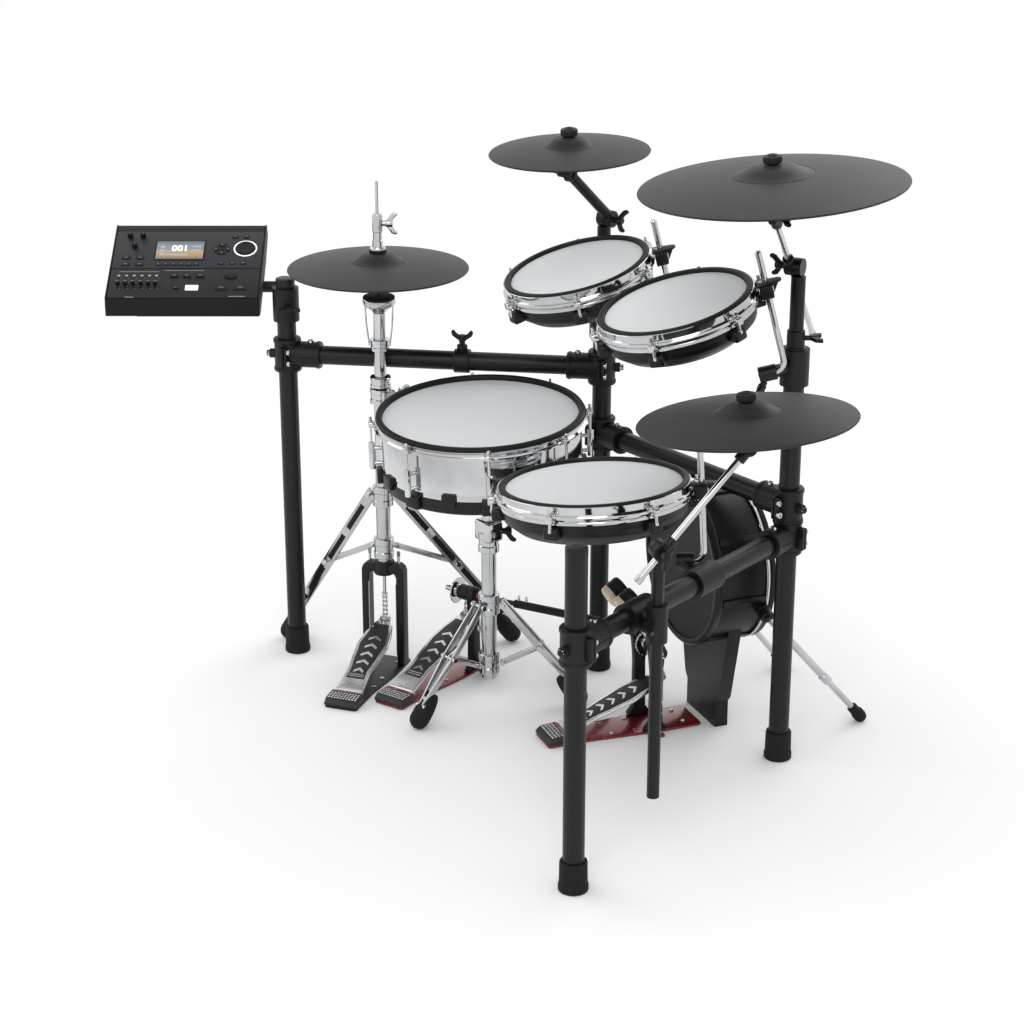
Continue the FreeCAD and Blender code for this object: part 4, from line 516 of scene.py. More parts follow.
tomPads = [
    {"name": "tomLeft", "node": "tom_left", "wide": 0.270, "at": (0.057, 0.052, 0.854),
     "tilt": (-0.082, -0.252, 0.964), "side": (0.6486, 0.7612, 0), "drop": 0.182, "claws": 30},
    {"name": "tomRight", "node": "tom_right", "wide": 0.270, "at": (0.381, -0.005, 0.869),
     "tilt": (-0.095, -0.258, 0.961), "side": (0.6486, 0.7612, 0), "drop": 0.168, "claws": 12},
    {"name": "floorTom", "node": "floor_tom", "wide": 0.325, "at": (0.366, -0.163, 0.581),
     "tilt": (-0.103, 0.006, 0.995), "side": (0.73, 0.68, 0), "drop": 0.142, "claws": 12},
]
for pad in tomPads:
    place = placeAt(pad["at"], pad["tilt"], pad["side"])
    radius, body = pad["wide"] / 2, pad["node"]
    # moulded ears under the claws take the tension screws
    ear = block("shellBlack", (0.022, 0.026, 0.020), (radius + 0.001, 0, hoopLow - 0.0125),
                0.004, 3)
    bowl = [padBowl(radius), rubberRim(radius, drumHoop["headDrop"]),
            *ringOf(ear, drumHoop["claws"], pad["claws"])]
    dress(pad["name"] + "Bowl", bowl, body, [body + "_shell"], place)
    head = wovenHead(radius, drumHoop["headDrop"])
    dress(pad["name"] + "Head", [head], body, [body + "_head"], place)
    hoop = [tierHoop(radius), *ringOf(hoopClaw(radius), drumHoop["claws"], pad["claws"]),
            *padHanger(radius, pad["drop"])]
    dress(pad["name"] + "Hoop", hoop, body, [body + "_hoop"], place)
print("tom pads made:", len(tomPads))

# snare pad: chrome shell, eight tube lugs, black cradle ring with tabs
snarePad = {"wide": 0.386, "at": (-0.040, -0.090, 0.586), "tilt": (0.022, -0.056, 0.998),
            "hoopHigh": 0.014, "shellLow": -0.104, "baseLow": -0.131, "inset": 0.009, "lugs": 8,
            "lugLow": -0.102, "lugTop": -0.050, "headDrop": 0.0095, "turn": 11.5}
snarePlace = placeAt(snarePad["at"], snarePad["tilt"])
snareRadius = snarePad["wide"] / 2
snareWall = snareRadius - snarePad["inset"]
snareLow, snareBase = snarePad["shellLow"], snarePad["baseLow"]
snareRim = hoopTop - snarePad["hoopHigh"]


def snareDress(name, pieces, node):
    dress(name, pieces, "stand", [node], snarePlace)


def tubeLug():
    # long lug tube on two posts, with the tension rod rising to the hoop's claw
    reach, bottom = snareRadius + 0.0072, snarePad["lugLow"]
    tube = [(0.0052, 0), (0.0060, 0.001), (0.0060, 0.050), (0.0052, 0.0515), (0.0052, 0.052)]
    parts = [lathe("chrome", tube, 24, place=shift((reach, 0, bottom)))]
    for rise in (0.011, 0.040):
        height = bottom + rise
        parts.append(bar("chrome", (snareWall - 0.001, 0, height), (reach, 0, height), 0.0036, 16))
    parts += barStack("brassScrew", reach, 0, 0,
                      [(snarePad["lugTop"] - 0.001, -0.0185, 0.0024, 14),
                       (-0.0105, -0.0080, 0.0046, 18), (-0.0080, -0.0010, 0.0031, 4)])
    parts.append(block("chrome", (0.0105, 0.0135, 0.0095), (reach - 0.0010, 0, -0.0152), 0.0022, 3))
    parts.append(block("chrome", (0.0080, 0.0110, 0.0050), (snareRadius + 0.0014, 0, -0.0178),
                       0.0014))
    return joined(parts)


snareDress("snareHead", [wovenHead(snareRadius, snarePad["headDrop"])], "snare_head")
rimSteps = [(-0.0095, 0), (-0.0022, 0), (0.0022, 0.0012), (0.0022, 0.0035), (-0.0016, 0.0060)]
lipSteps = [(-0.0022, -0.0035), (-0.0002, 0), (-0.0004, 0.0010), (-0.0018, 0.0012),
            (-0.0027, 0.0004), (-0.0095, 0)]
hoopSteps = offset(rimSteps, snareRadius, snareRim) + offset(lipSteps, snareRadius, hoopTop)
snareDress("snareHoop", [lathe("chrome", hoopSteps, 128, True)], "snare_hoop")
bead = [(-0.003, 0), (0, 0), (0, 0.010), (0.0006, 0.0125), (0, 0.015)]
shellSteps = offset(bead, snareWall, snareLow)
shellSteps += offset([(0, -0.002), (-0.001, 0), (-0.003, 0)], snareWall, snareRim)
snareDress("snareShell", [lathe("chrome", shellSteps, 160, True)], "snare_shell")
lugs = ringOf(tubeLug(), snarePad["lugs"], snarePad["turn"])
snareDress("snareLugs", lugs, "snare_lugs")
baseSteps = [(0.010, snareBase + 0.004)]
baseSteps += offset([(-0.012, 0), (-0.003, 0.001), (0.0005, 0.005)], snareWall, snareBase)
baseSteps += offset([(0.0015, -0.006), (0.0015, -0.0005), (-0.0035, -0.0005)], snareWall, snareLow)
cradle = [rubberRim(snareRadius, snarePad["headDrop"]), lathe("shellBlack", baseSteps, 128)]
tab = block("shellBlack", (0.009, 0.026, 0.024), (snareWall + 0.0035, 0, snareLow + 0.002),
            0.0025, 3)
cradle += ringOf(tab, snarePad["lugs"], snarePad["turn"] - 180 / snarePad["lugs"])
cup = block("shellBlack", (0.011, 0.030, 0.026), (snareWall + 0.0040, 0, snareBase + 0.016),
            0.003, 3)
cradle += ringOf(cup, snarePad["lugs"], snarePad["turn"])
snareDress("snareCradle", cradle, "snare_rim")
print("snare pad made")


# cymbal pads on their tilters
def wingBolt(at, direction, roll=0.0, finish="castBlack"):
    # bolt with two moulded wings, standing out along its direction
    half = [(0.0055, 0), (0.0115, 0.0035), (0.0185, 0.0085), (0.0210, 0.0145), (0.0200, 0.0195),
            (0.0155, 0.0200), (0.0120, 0.0150), (0.0065, 0.0110)]
    wingPlace = placeAt((0, 0, 0.008), (0, -1, 0), (1, 0, 0)) @ shift((0, 0, -0.0031))
    hub = [(0.0050, 0), (0.0056, 0.0006), (0.0056, 0.006), (0.0072, 0.008), (0.0072, 0.017),
           (0.0060, 0.0190), (0.0020, 0.0195)]
    bolt = joined([plate(finish, mirrored(half), 0.0062, 0.0020, 3, wingPlace),
                   lathe(finish, hub, 24),
                   bar("chrome", (0, 0, -0.004), (0, 0, 0.001), 0.0032, 16)])
    return moved(bolt, placeAt(at, direction) @ turnedBy(roll))


cymbalForm = {"bell": 0.30, "foot": 0.0445, "rise": 0.05, "cap": 0.013, "hole": 0.0094,
              "thick": 0.0045, "bow": 0.006, "lip": 0.004, "crown": 0.0145, "gap": 0.0025}


def cymbalTop(wide):
    return wide * cymbalForm["rise"] + cymbalForm["cap"]


def rubberCymbal(finish, wide, place):
    # bowed skirt, rolled lip, a ring line at the foot of the bell, and a hole in its middle
    edge, low, top = wide / 2, wide * cymbalForm["foot"], cymbalTop(wide)
    bell, skirt = edge * cymbalForm["bell"], edge - cymbalForm["lip"]
    hole, under = cymbalForm["hole"], low - cymbalForm["thick"]
    start = hole + cymbalForm["crown"]

    def bow(share):
        return math.sin(share * math.pi) * wide * cymbalForm["bow"]

    steps = [(hole, top - 0.0048), (hole, top - 0.0008), (hole + 0.001, top), (hole + 0.010, top),
             (start, top - 0.0006)]
    for share in (0.2, 0.4, 0.6, 0.8, 0.93):
        fall = 0.0006 + (top - low - 0.0012) * (1 - math.cos(share * math.pi)) / 2
        steps.append((start + (bell - start) * share, top - fall))
    steps += [(bell, low + 0.0001), (bell + 0.0012, low - 0.0009), (bell + 0.0024, low - 0.0001)]
    for share in (0.15, 0.35, 0.55, 0.75, 0.9):
        steps.append((bell + (skirt - bell) * share, low + (0.0020 - low) * share + bow(share)))
    steps += [(edge - 0.0035, 0.0021), (edge - 0.0012, 0.0016), (edge, 0.0),
              (edge - 0.0012, -0.0016), (edge - 0.0035, -0.0021)]
    for share in (0.25, 0.5, 0.75):
        steps.append((skirt + (bell - skirt) * share,
                      -0.0022 + (under + 0.0022) * share + bow(share)))
    steps += [(bell, under), ((bell + hole) / 2, (low + top) / 2 - cymbalForm["thick"] + 0.001),
              (hole + 0.010, top - 0.0048)]
    return lathe(finish, steps, 144, True, place)


def cymbalSeat(pivot, stem):
    # threaded stem with a felt cone under the cymbal and a knurled nut above it
    foot, under, low = pivot - stem, pivot - 0.0053, pivot + 0.0053
    threads, threadRun = 24, stem - 0.012
    stemSteps = [(0.0036, foot), (0.0040, foot + 0.001)]
    for number in range(threads):
        rise = foot + 0.004 + threadRun * number / threads
        stemSteps += [(0.0040, rise), (0.0036, rise + threadRun / threads / 2)]
    stemSteps += [(0.0040, pivot), (0.0040, low)]
    felt = [(0.0086, -0.010), (0.0092, -0.0098), (0.0128, -0.001), (0.0122, 0), (0.0042, 0)]
    nut = [(0.0142, 0), (0.0150, 0.001), (0.0150, 0.0100), (0.0142, 0.0118), (0.0125, 0.0122),
           (0.0080, 0.0122), (0.0076, 0.0140), (0.0050, 0.0144), (0.0044, 0.0134), (0.0010, 0.0132)]
    parts = [lathe("darkSteel", stemSteps, 24), lathe("footRubber", offset(felt, y=under), 48),
             lathe("castBlack", offset(nut, y=low), 48)]
    rib = block("castBlack", (0.0010, 0.0010, 0.0085), (0.0150, 0, low + 0.0056), 0.0003, 1)
    return parts + ringOf(rib, 24)


tilterForm = {"disc": 0.015, "post": 0.0078, "rod": 0.0055, "stub": 0.0095, "stubTail": 0.004}


def knuckle(at, axis, radius):
    # clamping disc of a tilter, grooved round its rim
    width = tilterForm["disc"]
    steps = [(radius * 0.30, 0), (radius - 0.0016, 0), (radius, 0.0016), (radius, width * 0.42),
             (radius - 0.0008, width * 0.46), (radius - 0.0008, width * 0.54),
             (radius, width * 0.58), (radius, width - 0.0016), (radius - 0.0016, width),
             (radius * 0.60, width), (radius * 0.55, width - 0.0010),
             (radius * 0.30, width - 0.0010)]
    return lathe("castBlack", steps, 48, place=placeAt(at, axis))


sleeveSteps = [(0.0060, 0), (0.0090, 0.0008), (0.0096, 0.002), (0.0096, 0.016), (0.0086, 0.018),
               (0.0060, 0.0185)]
capSteps = [(0.0056, 0), (0.0066, 0.0006), (0.0066, 0.010), (0.0056, 0.0116), (0.0020, 0.0120)]
cymbalPads = [
    {"name": "crashLeft", "node": "crash_left", "arm": "crash_left_tilter", "wide": 0.290,
     "at": (-0.009, 0.090, 1.040), "tilt": (-0.001, -0.048, 0.999), "stem": 0.066,
     "post": (-0.031, 0.192, 0.902), "side": -1, "tail": 0.0},
    {"name": "ride", "node": "ride", "arm": "ride_boom", "wide": 0.440,
     "at": (0.520, 0.077, 1.073), "tilt": (-0.036, -0.067, 0.997), "stem": 0.084,
     "post": (0.472, 0.192, 0.911), "side": 1, "tail": 0.255},
    {"name": "crashRight", "node": "crash_right", "arm": "crash_right_boom", "wide": 0.350,
     "at": (0.674, -0.112, 0.754), "tilt": (-0.099, -0.027, 0.995), "stem": 0.072,
     "post": (0.622, -0.245, 0.556), "side": 1, "tail": 0.060},
]
for pad in cymbalPads:
    place = placeAt(pad["at"], pad["tilt"])
    finish = pad["name"] + "Rubber"
    cymbalRubber(finish, pad["at"])
    disc = rubberCymbal(finish, pad["wide"], place)
    dress(pad["name"] + "Pad", [disc], pad["node"], [pad["node"] + "_cymbal"])
    pivot = cymbalTop(pad["wide"]) - cymbalForm["gap"]
    bottom = place @ Vector((0, 0, pivot - pad["stem"]))
    post = Vector(pad["post"])
    level = Vector((bottom.x - post.x, bottom.y - post.y, 0)).normalized()
    axis = Vector((level.y, -level.x, 0)) * pad["side"]
    halfDisc = axis * tilterForm["disc"] / 2
    near = post + axis * tilterForm["post"]
    middle = near + halfDisc
    run = (bottom - middle).normalized()
    boom = {"thick": tilterForm["rod"], "back": pad["tail"], "finish": "chrome"}
    if not pad["tail"]:
        boom = {"thick": tilterForm["stub"], "back": tilterForm["stubTail"], "finish": "castBlack"}
    barEnd = middle - run * boom["back"]
    parts = [moved(part, place) for part in cymbalSeat(pivot, pad["stem"])]
    parts += [bar(boom["finish"], barEnd, bottom, boom["thick"], 32, 0.0016),
              knuckle(near, axis, 0.0155), knuckle(bottom - halfDisc, axis, 0.0130)]
    for spot in (middle + run * 0.010, bottom - run * 0.026):
        parts.append(lathe("castBlack", sleeveSteps, 32, place=placeAt(spot, run)))
    if pad["tail"]:
        parts.append(lathe("chrome", capSteps, 24, place=placeAt(barEnd + run * 0.010, -run)))
    parts += [wingBolt(near + halfDisc * 2, axis, 70), wingBolt(bottom - halfDisc, -axis, 20)]
    dress(pad["name"] + "Tilter", parts, pad["node"] + "_arm", [pad["arm"]])
print("cymbal pads made:", len(cymbalPads))

# hi-hat pad with its clutch and pull rod
hatPad = {"wide": 0.338, "at": (-0.305, -0.124, 0.801), "clutchLow": 0.7625, "clutchTop": 0.905,
          "rodLow": 0.150, "rodStep": 0.912, "rodTop": 0.966}
hatTube = Vector((hatPad["at"][0], hatPad["at"][1], 0))
atHat = shift(hatTube)
backRight = (0.65, 0.76, 0)
cymbalRubber("hatRubber", hatPad["at"])
hatDisc = rubberCymbal("hatRubber", hatPad["wide"], shift(hatPad["at"]))
dress("hatPad", [hatDisc], "hihat_rod", ["hihat_cymbal"])
hatRod = [bar("chrome", (0, 0, hatPad["rodLow"]), (0, 0, hatPad["rodStep"]), 0.0032, 20),
          bar("chrome", (0, 0, hatPad["rodStep"]), (0, 0, hatPad["rodTop"]), 0.0030, 20)]
dress("hatRod", hatRod, "hihat_rod", ["hihat_pull_rod"], atHat)
topZ = hatPad["at"][2] + cymbalTop(hatPad["wide"])
underZ, clutchLow, clutchTop = topZ - 0.005, hatPad["clutchLow"], hatPad["clutchTop"]
clutchSteps = [(0.0040, clutchLow), (0.0085, clutchLow + 0.001)]
clutchSteps += offset([(0.0085, -0.024), (0.0140, -0.0235), (0.0150, -0.022), (0.0150, -0.002),
                       (0.0140, 0), (0.0085, 0)], y=underZ)
clutchSteps += offset([(0.0085, 0), (0.0140, 0), (0.0150, 0.0015), (0.0150, 0.010), (0.0138, 0.012),
                       (0.0100, 0.0125), (0.0100, 0.024), (0.0085, 0.025)], y=topZ)
clutchSteps += offset([(0.0085, -0.034), (0.0096, -0.033), (0.0096, -0.004), (0.0086, -0.001),
                       (0.0040, 0)], y=clutchTop)
feltSteps = offset([(0.0152, 0.0010), (0.0160, 0.0016), (0.0160, 0.0065), (0.0152, 0.0072)], y=topZ)
clutch = [lathe("chrome", clutchSteps, 40), lathe("footRubber", feltSteps, 40),
          wingBolt((0.0062, 0.0073, clutchTop - 0.018), backRight, 90, "chrome")]
dress("hatClutch", clutch, "hihat_rod", ["hihat_clutch"], atHat)
print("hi-hat pad made")


# chrome stands: tubes, clamp collars, strap legs and rubber feet
legForm = {"collarReach": 0.0257, "braceReach": 0.0252, "ankle": 0.043, "knee": 0.52,
           "toeLong": 0.020, "toeDrop": 0.012, "pinHead": 0.0022}


def strapBar(finish, start, end, side, wide, thick):
    # flat strap between two points, its thickness across side
    run = end - start
    size = (wide, thick, run.length + wide * 0.6)
    return block(finish, size, (0, 0, run.length / 2), min(thick, wide) * 0.28,
                 place=placeAt(start, run, run.cross(side)))


def standCollar(at, height, radius=0.014, wall=0.006):
    outer = radius + wall
    steps = [(radius + 0.0002, 0), (outer - 0.001, 0), (outer, 0.001), (outer, height * 0.3),
             (outer - 0.0012, height * 0.34), (outer - 0.0012, height * 0.66),
             (outer, height * 0.7), (outer, height - 0.001), (outer - 0.001, height),
             (radius + 0.0002, height)]
    return lathe("chrome", steps, 48, True, shift(at))


def rubberTip(foot, lean):
    # rounded rubber foot that leans along its leg and stands on the floor
    radius, half = 0.0185, 0.017
    bulb = [(0.45, 0.90), (0.78, 0.62), (0.96, 0.25), (1.0, 0.0)]
    steps = [(0.0030, -half - radius * 0.98)]
    steps += [(radius * wide, -half - radius * fall) for wide, fall in bulb]
    steps += [(radius, 0.0), (radius * 0.93, half * 0.7), (radius * 0.78, half + 0.010),
              (radius * 0.58, half + 0.018), (radius * 0.50, half + 0.020), (0.0060, half + 0.0205)]
    lean = lean.normalized()
    up = -lean if lean.z < 0 else lean
    centre = atHeight(foot, radius + half * up.z) + Vector((up.x, up.y, 0)) * half * 0.4
    return lathe("footRubber", steps, 40, place=placeAt(centre, up))


def pairedStraps(start, middle, reach, side):
    # two bowed straps that meet at the foot
    parts = []
    for face in (-1, 1):
        bow = middle + side * face * 0.0115
        for a, b in ((start + side * face * 0.0085, bow), (bow, reach + side * face * 0.0040)):
            parts.append(strapBar("legAlloy", a, b, side, 0.0125, 0.0042))
    return parts


def windowedStrap(start, reach, side):
    # single wide strap, with dark sheets on both faces: painted shade standing in for its windows
    parts = [strapBar("legAlloy", start, reach, side, 0.022, 0.009)]
    # each window is a thin dark rubber sheet laid on the face, painted shade in place of an opening
    for near, far in ((0.10, 0.26), (0.33, 0.49), (0.58, 0.74), (0.80, 0.92)):
        for face in (-1, 1):
            out = side * face * 0.0046
            parts.append(strapBar("rimRubber", start.lerp(reach, near) + out,
                                  start.lerp(reach, far) + out, side, 0.0105, 0.0008))
    return parts


def strapLeg(tube, foot, high, low, windows):
    # leg from the upper collar to the foot, with a brace from the lower collar and its pins
    run = (foot - tube).normalized()
    side = Vector((run.y, -run.x, 0))
    start = atHeight(tube + run * legForm["collarReach"], high)
    brace = atHeight(tube + run * legForm["braceReach"], low)
    reach = atHeight(foot, legForm["ankle"])
    middle = start.lerp(reach, legForm["knee"])
    if windows:
        parts = windowedStrap(start, reach, side)
    else:
        parts = pairedStraps(start, middle, reach, side)
    parts.append(strapBar("legAlloy", brace, middle, side, 0.0115, 0.0050))
    for spot, half in ((start, 0.0150), (middle, 0.0165), (reach, 0.0085)):
        pin = side * half
        parts.append(bar("chrome", spot - pin, spot + pin, 0.0034, 18))
        for face in (-1, 1):
            inner = side * face * (half - legForm["pinHead"])
            outer = side * face * (half + legForm["pinHead"])
            parts.append(bar("chrome", spot + inner, spot + outer, 0.0058, 18))
    parts.append(bar("chrome", brace - side * 0.0085, brace + side * 0.0085, 0.0044, 18))
    toe = reach + (start - reach).normalized() * legForm["toeLong"]
    parts.append(bar("chrome", toe, reach - Vector((0, 0, legForm["toeDrop"])), 0.0072, 20))
    return parts, rubberTip(foot, reach - start)


snareTube = Vector((-0.034, -0.076, 0))
snareLegs = {"tube": snareTube, "high": 0.205, "low": 0.084, "windows": False,
             "feet": ((0.009, -0.165, 0), (0.111, 0.119, 0), (-0.098, 0.069, 0))}
hatLegs = {"tube": hatTube, "high": 0.353, "low": 0.246, "windows": True,
           "feet": ((-0.215, -0.081, 0), (0.068, 0.255, 0))}
legParts, tipParts = [], []
for tripod in (snareLegs, hatLegs):
    for reach in tripod["feet"]:
        leg, tip = strapLeg(tripod["tube"], tripod["tube"] + Vector(reach), tripod["high"],
                            tripod["low"], tripod["windows"])
        legParts += leg
        tipParts.append(tip)
dress("tripodLegs", legParts, "stand", ["tripod_legs"])


def tubeRun(tube, low, high, radius, edge=0.0):
    return bar("chrome", atHeight(tube, low), atHeight(tube, high), radius, 48, edge)


basket = {"armZ": snareBase - 0.016, "hubLow": 0.014, "arms": 3, "turn": 30}
armZ = basket["armZ"]
collarHigh, blockAt, tiltAt = 0.040, 0.352, 0.402
hubLow = snarePlace @ Vector((0, 0, armZ - basket["hubLow"]))
tubeParts = [tubeRun(snareTube, 0.052, 0.345, 0.014, 0.0015),
             tubeRun(snareTube, 0.340, 0.396, 0.0125),
             bar("chrome", atHeight(snareTube, 0.392), hubLow, 0.0125, 48)]
for z in (0.330, snareLegs["high"], snareLegs["low"]):
    tubeParts.append(standCollar(atHeight(snareTube, z - collarHigh / 2), collarHigh))
tiltHead = chamferRing(0.008, 0.0185, -0.016, 0.016, 0.002, 0.003)
tubeParts += [
    block("chrome", (0.044, 0.036, 0.040), atHeight(snareTube, blockAt), 0.005, 3),
    wingBolt(snareTube + Vector((0.020, 0.014, blockAt)), backRight, 90, "rimRubber"),
    lathe("chrome", tiltHead, 48, place=placeAt(atHeight(snareTube, tiltAt), backRight)),
    wingBolt(snareTube + Vector((0.011, 0.0125, tiltAt)), backRight, 20, "chrome"),
]
dress("snareStandTube", tubeParts, "stand", ["snare_stand_tube"])

# basket: hub with three cranked arms that end in rubber grips under the cradle
hubSteps = [(0.0130, -0.014), (0.0190, -0.014), (0.0200, -0.012), (0.0200, 0.010), (0.0150, 0.014),
            (0.004, 0.015)]
armPoints = [(0.012, -0.007), (0.120, -0.007), (0.168, 0.002), (0.168, 0.013)]
gripSteps = [(0.0085, 0.002), (0.0100, 0.0035), (0.0100, 0.0140), (0.0090, 0.0155), (0.003, 0.0158)]
basketParts = [lathe("chrome", offset(hubSteps, y=armZ), 48)]
for number in range(basket["arms"]):
    turn = turnedBy(360 / basket["arms"] * number + basket["turn"])
    arm = bentBar("chrome", [(x, 0, armZ + rise) for x, rise in armPoints], 0.0058, 0.012)
    grip = lathe("footRubber", offset(gripSteps, y=armZ), 32)
    web = block("chrome", (0.060, 0.004, 0.012), (0.050, 0, armZ - 0.004), 0.0015)
    basketParts += [moved(part, turn) for part in (arm, grip, web)]
snareDress("snareBasket", basketParts, "snare_basket")

heightClamp = 0.556
hatParts = [tubeRun(hatTube, 0.198, 0.566, 0.014, 0.0015), tubeRun(hatTube, 0.560, 0.724, 0.0118)]
for z in (hatLegs["high"], hatLegs["low"]):
    hatParts.append(standCollar(atHeight(hatTube, z - collarHigh / 2), collarHigh))
for z, tall, wall in ((0.540, 0.030, 0.0075), (0.572, 0.020, 0.0060)):
    hatParts.append(standCollar(atHeight(hatTube, z), tall, 0.0142, wall))
clampAt = hatTube + Vector((0.004, 0.005, heightClamp))
hatParts += [block("chrome", (0.038, 0.030, 0.022), clampAt, 0.004, 3),
             wingBolt(hatTube + Vector((0.018, 0.020, heightClamp)), backRight, 90, "chrome"),
             standCollar(atHeight(hatTube, 0.644), 0.022, 0.0119, 0.0062)]
seatSteps = [(0.0120, 0.716), (0.0150, 0.720), (0.0240, 0.7285), (0.0300, 0.7325), (0.0310, 0.7345),
             (0.0310, 0.7425), (0.0300, 0.744), (0.0060, 0.744)]
padSteps = [(0.0295, 0.7440), (0.0300, 0.7444), (0.0300, 0.7475), (0.0285, 0.7485),
            (0.0060, 0.7485)]
hatParts += [lathe("legAlloy", seatSteps, 64, place=atHat),
             lathe("footRubber", padSteps, 64, place=atHat)]
for side in (-1, 1):
    out = Vector((0.6486, 0.7612, 0)) * side
    cage = [atHeight(hatTube + out * reach, rise) for reach, rise in
            ((0.019, 0.652), (0.024, 0.690), (0.026, 0.731))]
    hatParts.append(bentBar("chrome", cage, 0.0016, 0.008, 12))
dress("hatStandTube", hatParts, "stand", ["hihat_stand_tube"])
print("stands made")

# kick pad: shell with two hoops, black head, spurs on bosses
kickPad = {"at": (0.239, 0.154, 0.312), "run": (0.288, 0.958, 0), "side": (-0.958, 0.288, 0),
           "shell": 0.145, "ribs": 8, "spurAt": 0.100, "spurDrop": 0.050}
kickPlace = placeAt(kickPad["at"], kickPad["run"], kickPad["side"])
shellR, spurDrop = kickPad["shell"], kickPad["spurDrop"]
shellSteps = [(0.1385, 0.0165), (0.1385, 0.0010), (0.1400, 0.0), (0.1480, 0.0), (0.1500, 0.0020),
              (0.1500, 0.0140), (0.1488, 0.0158), (shellR, 0.0162), (shellR, 0.1035),
              (0.1488, 0.1042), (0.1500, 0.1060), (0.1500, 0.1180), (0.1485, 0.1200),
              (0.1300, 0.1200), (0.1280, 0.1185), (0.020, 0.1185)]
farHoop = [(0.1460, 0.1022), (0.1500, 0.1020), (0.1506, 0.1030), (0.1506, 0.1066), (0.1500, 0.1076),
           (0.1460, 0.1074)]
rib = block("shellBlack", (0.006, 0.016, 0.084), (shellR + 0.001, 0, 0.060), 0.002)
kickParts = [lathe("shellBlack", shellSteps, 144), lathe("chrome", farHoop, 144, True),
             *ringOf(rib, kickPad["ribs"], 90 / kickPad["ribs"])]
kickParts = [moved(part, kickPlace) for part in kickParts]
bossSteps = [(0.0110, 0.0), (0.0130, 0.0008), (0.0130, 0.0110), (0.0120, 0.0120), (0.004, 0.0120)]
eyeSteps = [(0.0110, 0.0), (0.0128, 0.0010), (0.0128, 0.0158), (0.0115, 0.0170), (0.0060, 0.0170),
            (0.0055, 0.0200), (0.0010, 0.0202)]
footSteps = [(0.0075, -0.012), (0.0095, -0.010), (0.0098, 0.004), (0.0120, 0.008), (0.0120, 0.020),
             (0.0100, 0.0265), (0.0060, 0.0295), (0.0010, 0.0305)]
spurs = [{"name": "Right", "side": 1, "foot": (0.462, 0.427)},
         {"name": "Left", "side": -1, "foot": (0.204, 0.481)}]
for spur in spurs:
    out = Vector((-spur["side"] * math.sqrt(shellR ** 2 - spurDrop ** 2), -spurDrop, 0))
    radial = (kickPlace.to_3x3() @ out).normalized()
    root = kickPlace @ Vector((0, 0, kickPad["spurAt"])) + radial * (shellR - 0.0025)
    kickParts.append(lathe("castBlack", bossSteps, 40, place=placeAt(root, radial)))
    eye = root + radial * 0.0123
    middle = eye + radial * 0.0085
    ground = atHeight(spur["foot"], 0)
    run = (ground - middle).normalized()
    tip = ground - run * 0.034
    length = (tip - middle).length
    legSteps = [(0.0062, 0.0), (0.0070, 0.001), (0.0070, length * 0.62), (0.0088, length * 0.625),
                (0.0088, length * 0.69), (0.0070, length * 0.695), (0.0058, length * 0.70),
                (0.0058, length + 0.006), (0.0050, length + 0.007)]
    spurParts = [lathe("castBlack", eyeSteps, 40, place=placeAt(eye, radial)),
                 lathe("brushedSteel", legSteps, 32, place=placeAt(middle, run)),
                 lathe("footRubber", footSteps, 36, place=placeAt(tip, run))]
    hand = spur["name"].lower()
    dress("kickSpur" + spur["name"], spurParts, "spur_" + hand, ["kick_spur_" + hand])
dress("kickShell", kickParts, "stand", ["kick_shell"])
headSteps = [(0.002, 0.0030), (0.060, 0.0030), (0.1379, 0.0034), (0.1379, 0.0056), (0.002, 0.0060)]
kickHead = lathe("headBlack", headSteps, 128)
dress("kickHead", [kickHead], "stand", ["kick_head"], kickPlace)
print("kick pad made")

# pedals: bases, heel plates, waisted boards, posts, cams, chains, springs and beaters
pedalSet = {"hingeAt": 0.0453, "hingeZ": 0.019, "pitch": 21.0, "thick": 0.007, "heelLong": 0.040,
            "heelHigh": 0.020, "heelWide": 0.066, "base": 0.005, "postHalf": 0.038, "axle": 0.0055,
            "sprocket": 0.026, "lever": 0.055, "beaterAt": 0.027, "beaterHigh": 0.112}
mainPlace = placeAt((0.161, -0.105, 0), (0, 0, 1), (0.288, 0.958, 0))
slavePlace = placeAt((-0.138, -0.239, 0), (0, 0, 1), (-0.282, 0.959, 0))
hatPedalPlace = placeAt((-0.183, -0.318, 0), (0, 0, 1), (-0.532, 0.847, 0))
acrossY = (0, 1, 0)
alongAxle = placeAt((0, 0, 0), acrossY)


def boardOutline(long, inset=0.0, start=0.0, end=1.0):
    # waisted outline as half widths along the board, smoothed between them
    marks = [(0.0, 0.0270), (0.12, 0.0258), (0.26, 0.0238), (0.44, 0.0285), (0.62, 0.0322),
             (0.76, 0.0280), (0.88, 0.0215), (0.96, 0.0142), (1.0, 0.0115)]
    spans, halves = 32, []
    for number in range(spans + 1):
        share = start + (end - start) * number / spans
        for (low, lowHalf), (high, highHalf) in zip(marks, marks[1:]):
            if low <= share <= high + 1e-9:
                along = (share - low) / (high - low)
                blend = along * 0.45 + (1 - math.cos(along * math.pi)) / 2 * 0.55
                halves.append((share * long, lowHalf + (highHalf - lowHalf) * blend - inset))
                break
    return [(x, -half) for x, half in halves] + [(x, half) for x, half in reversed(halves)]


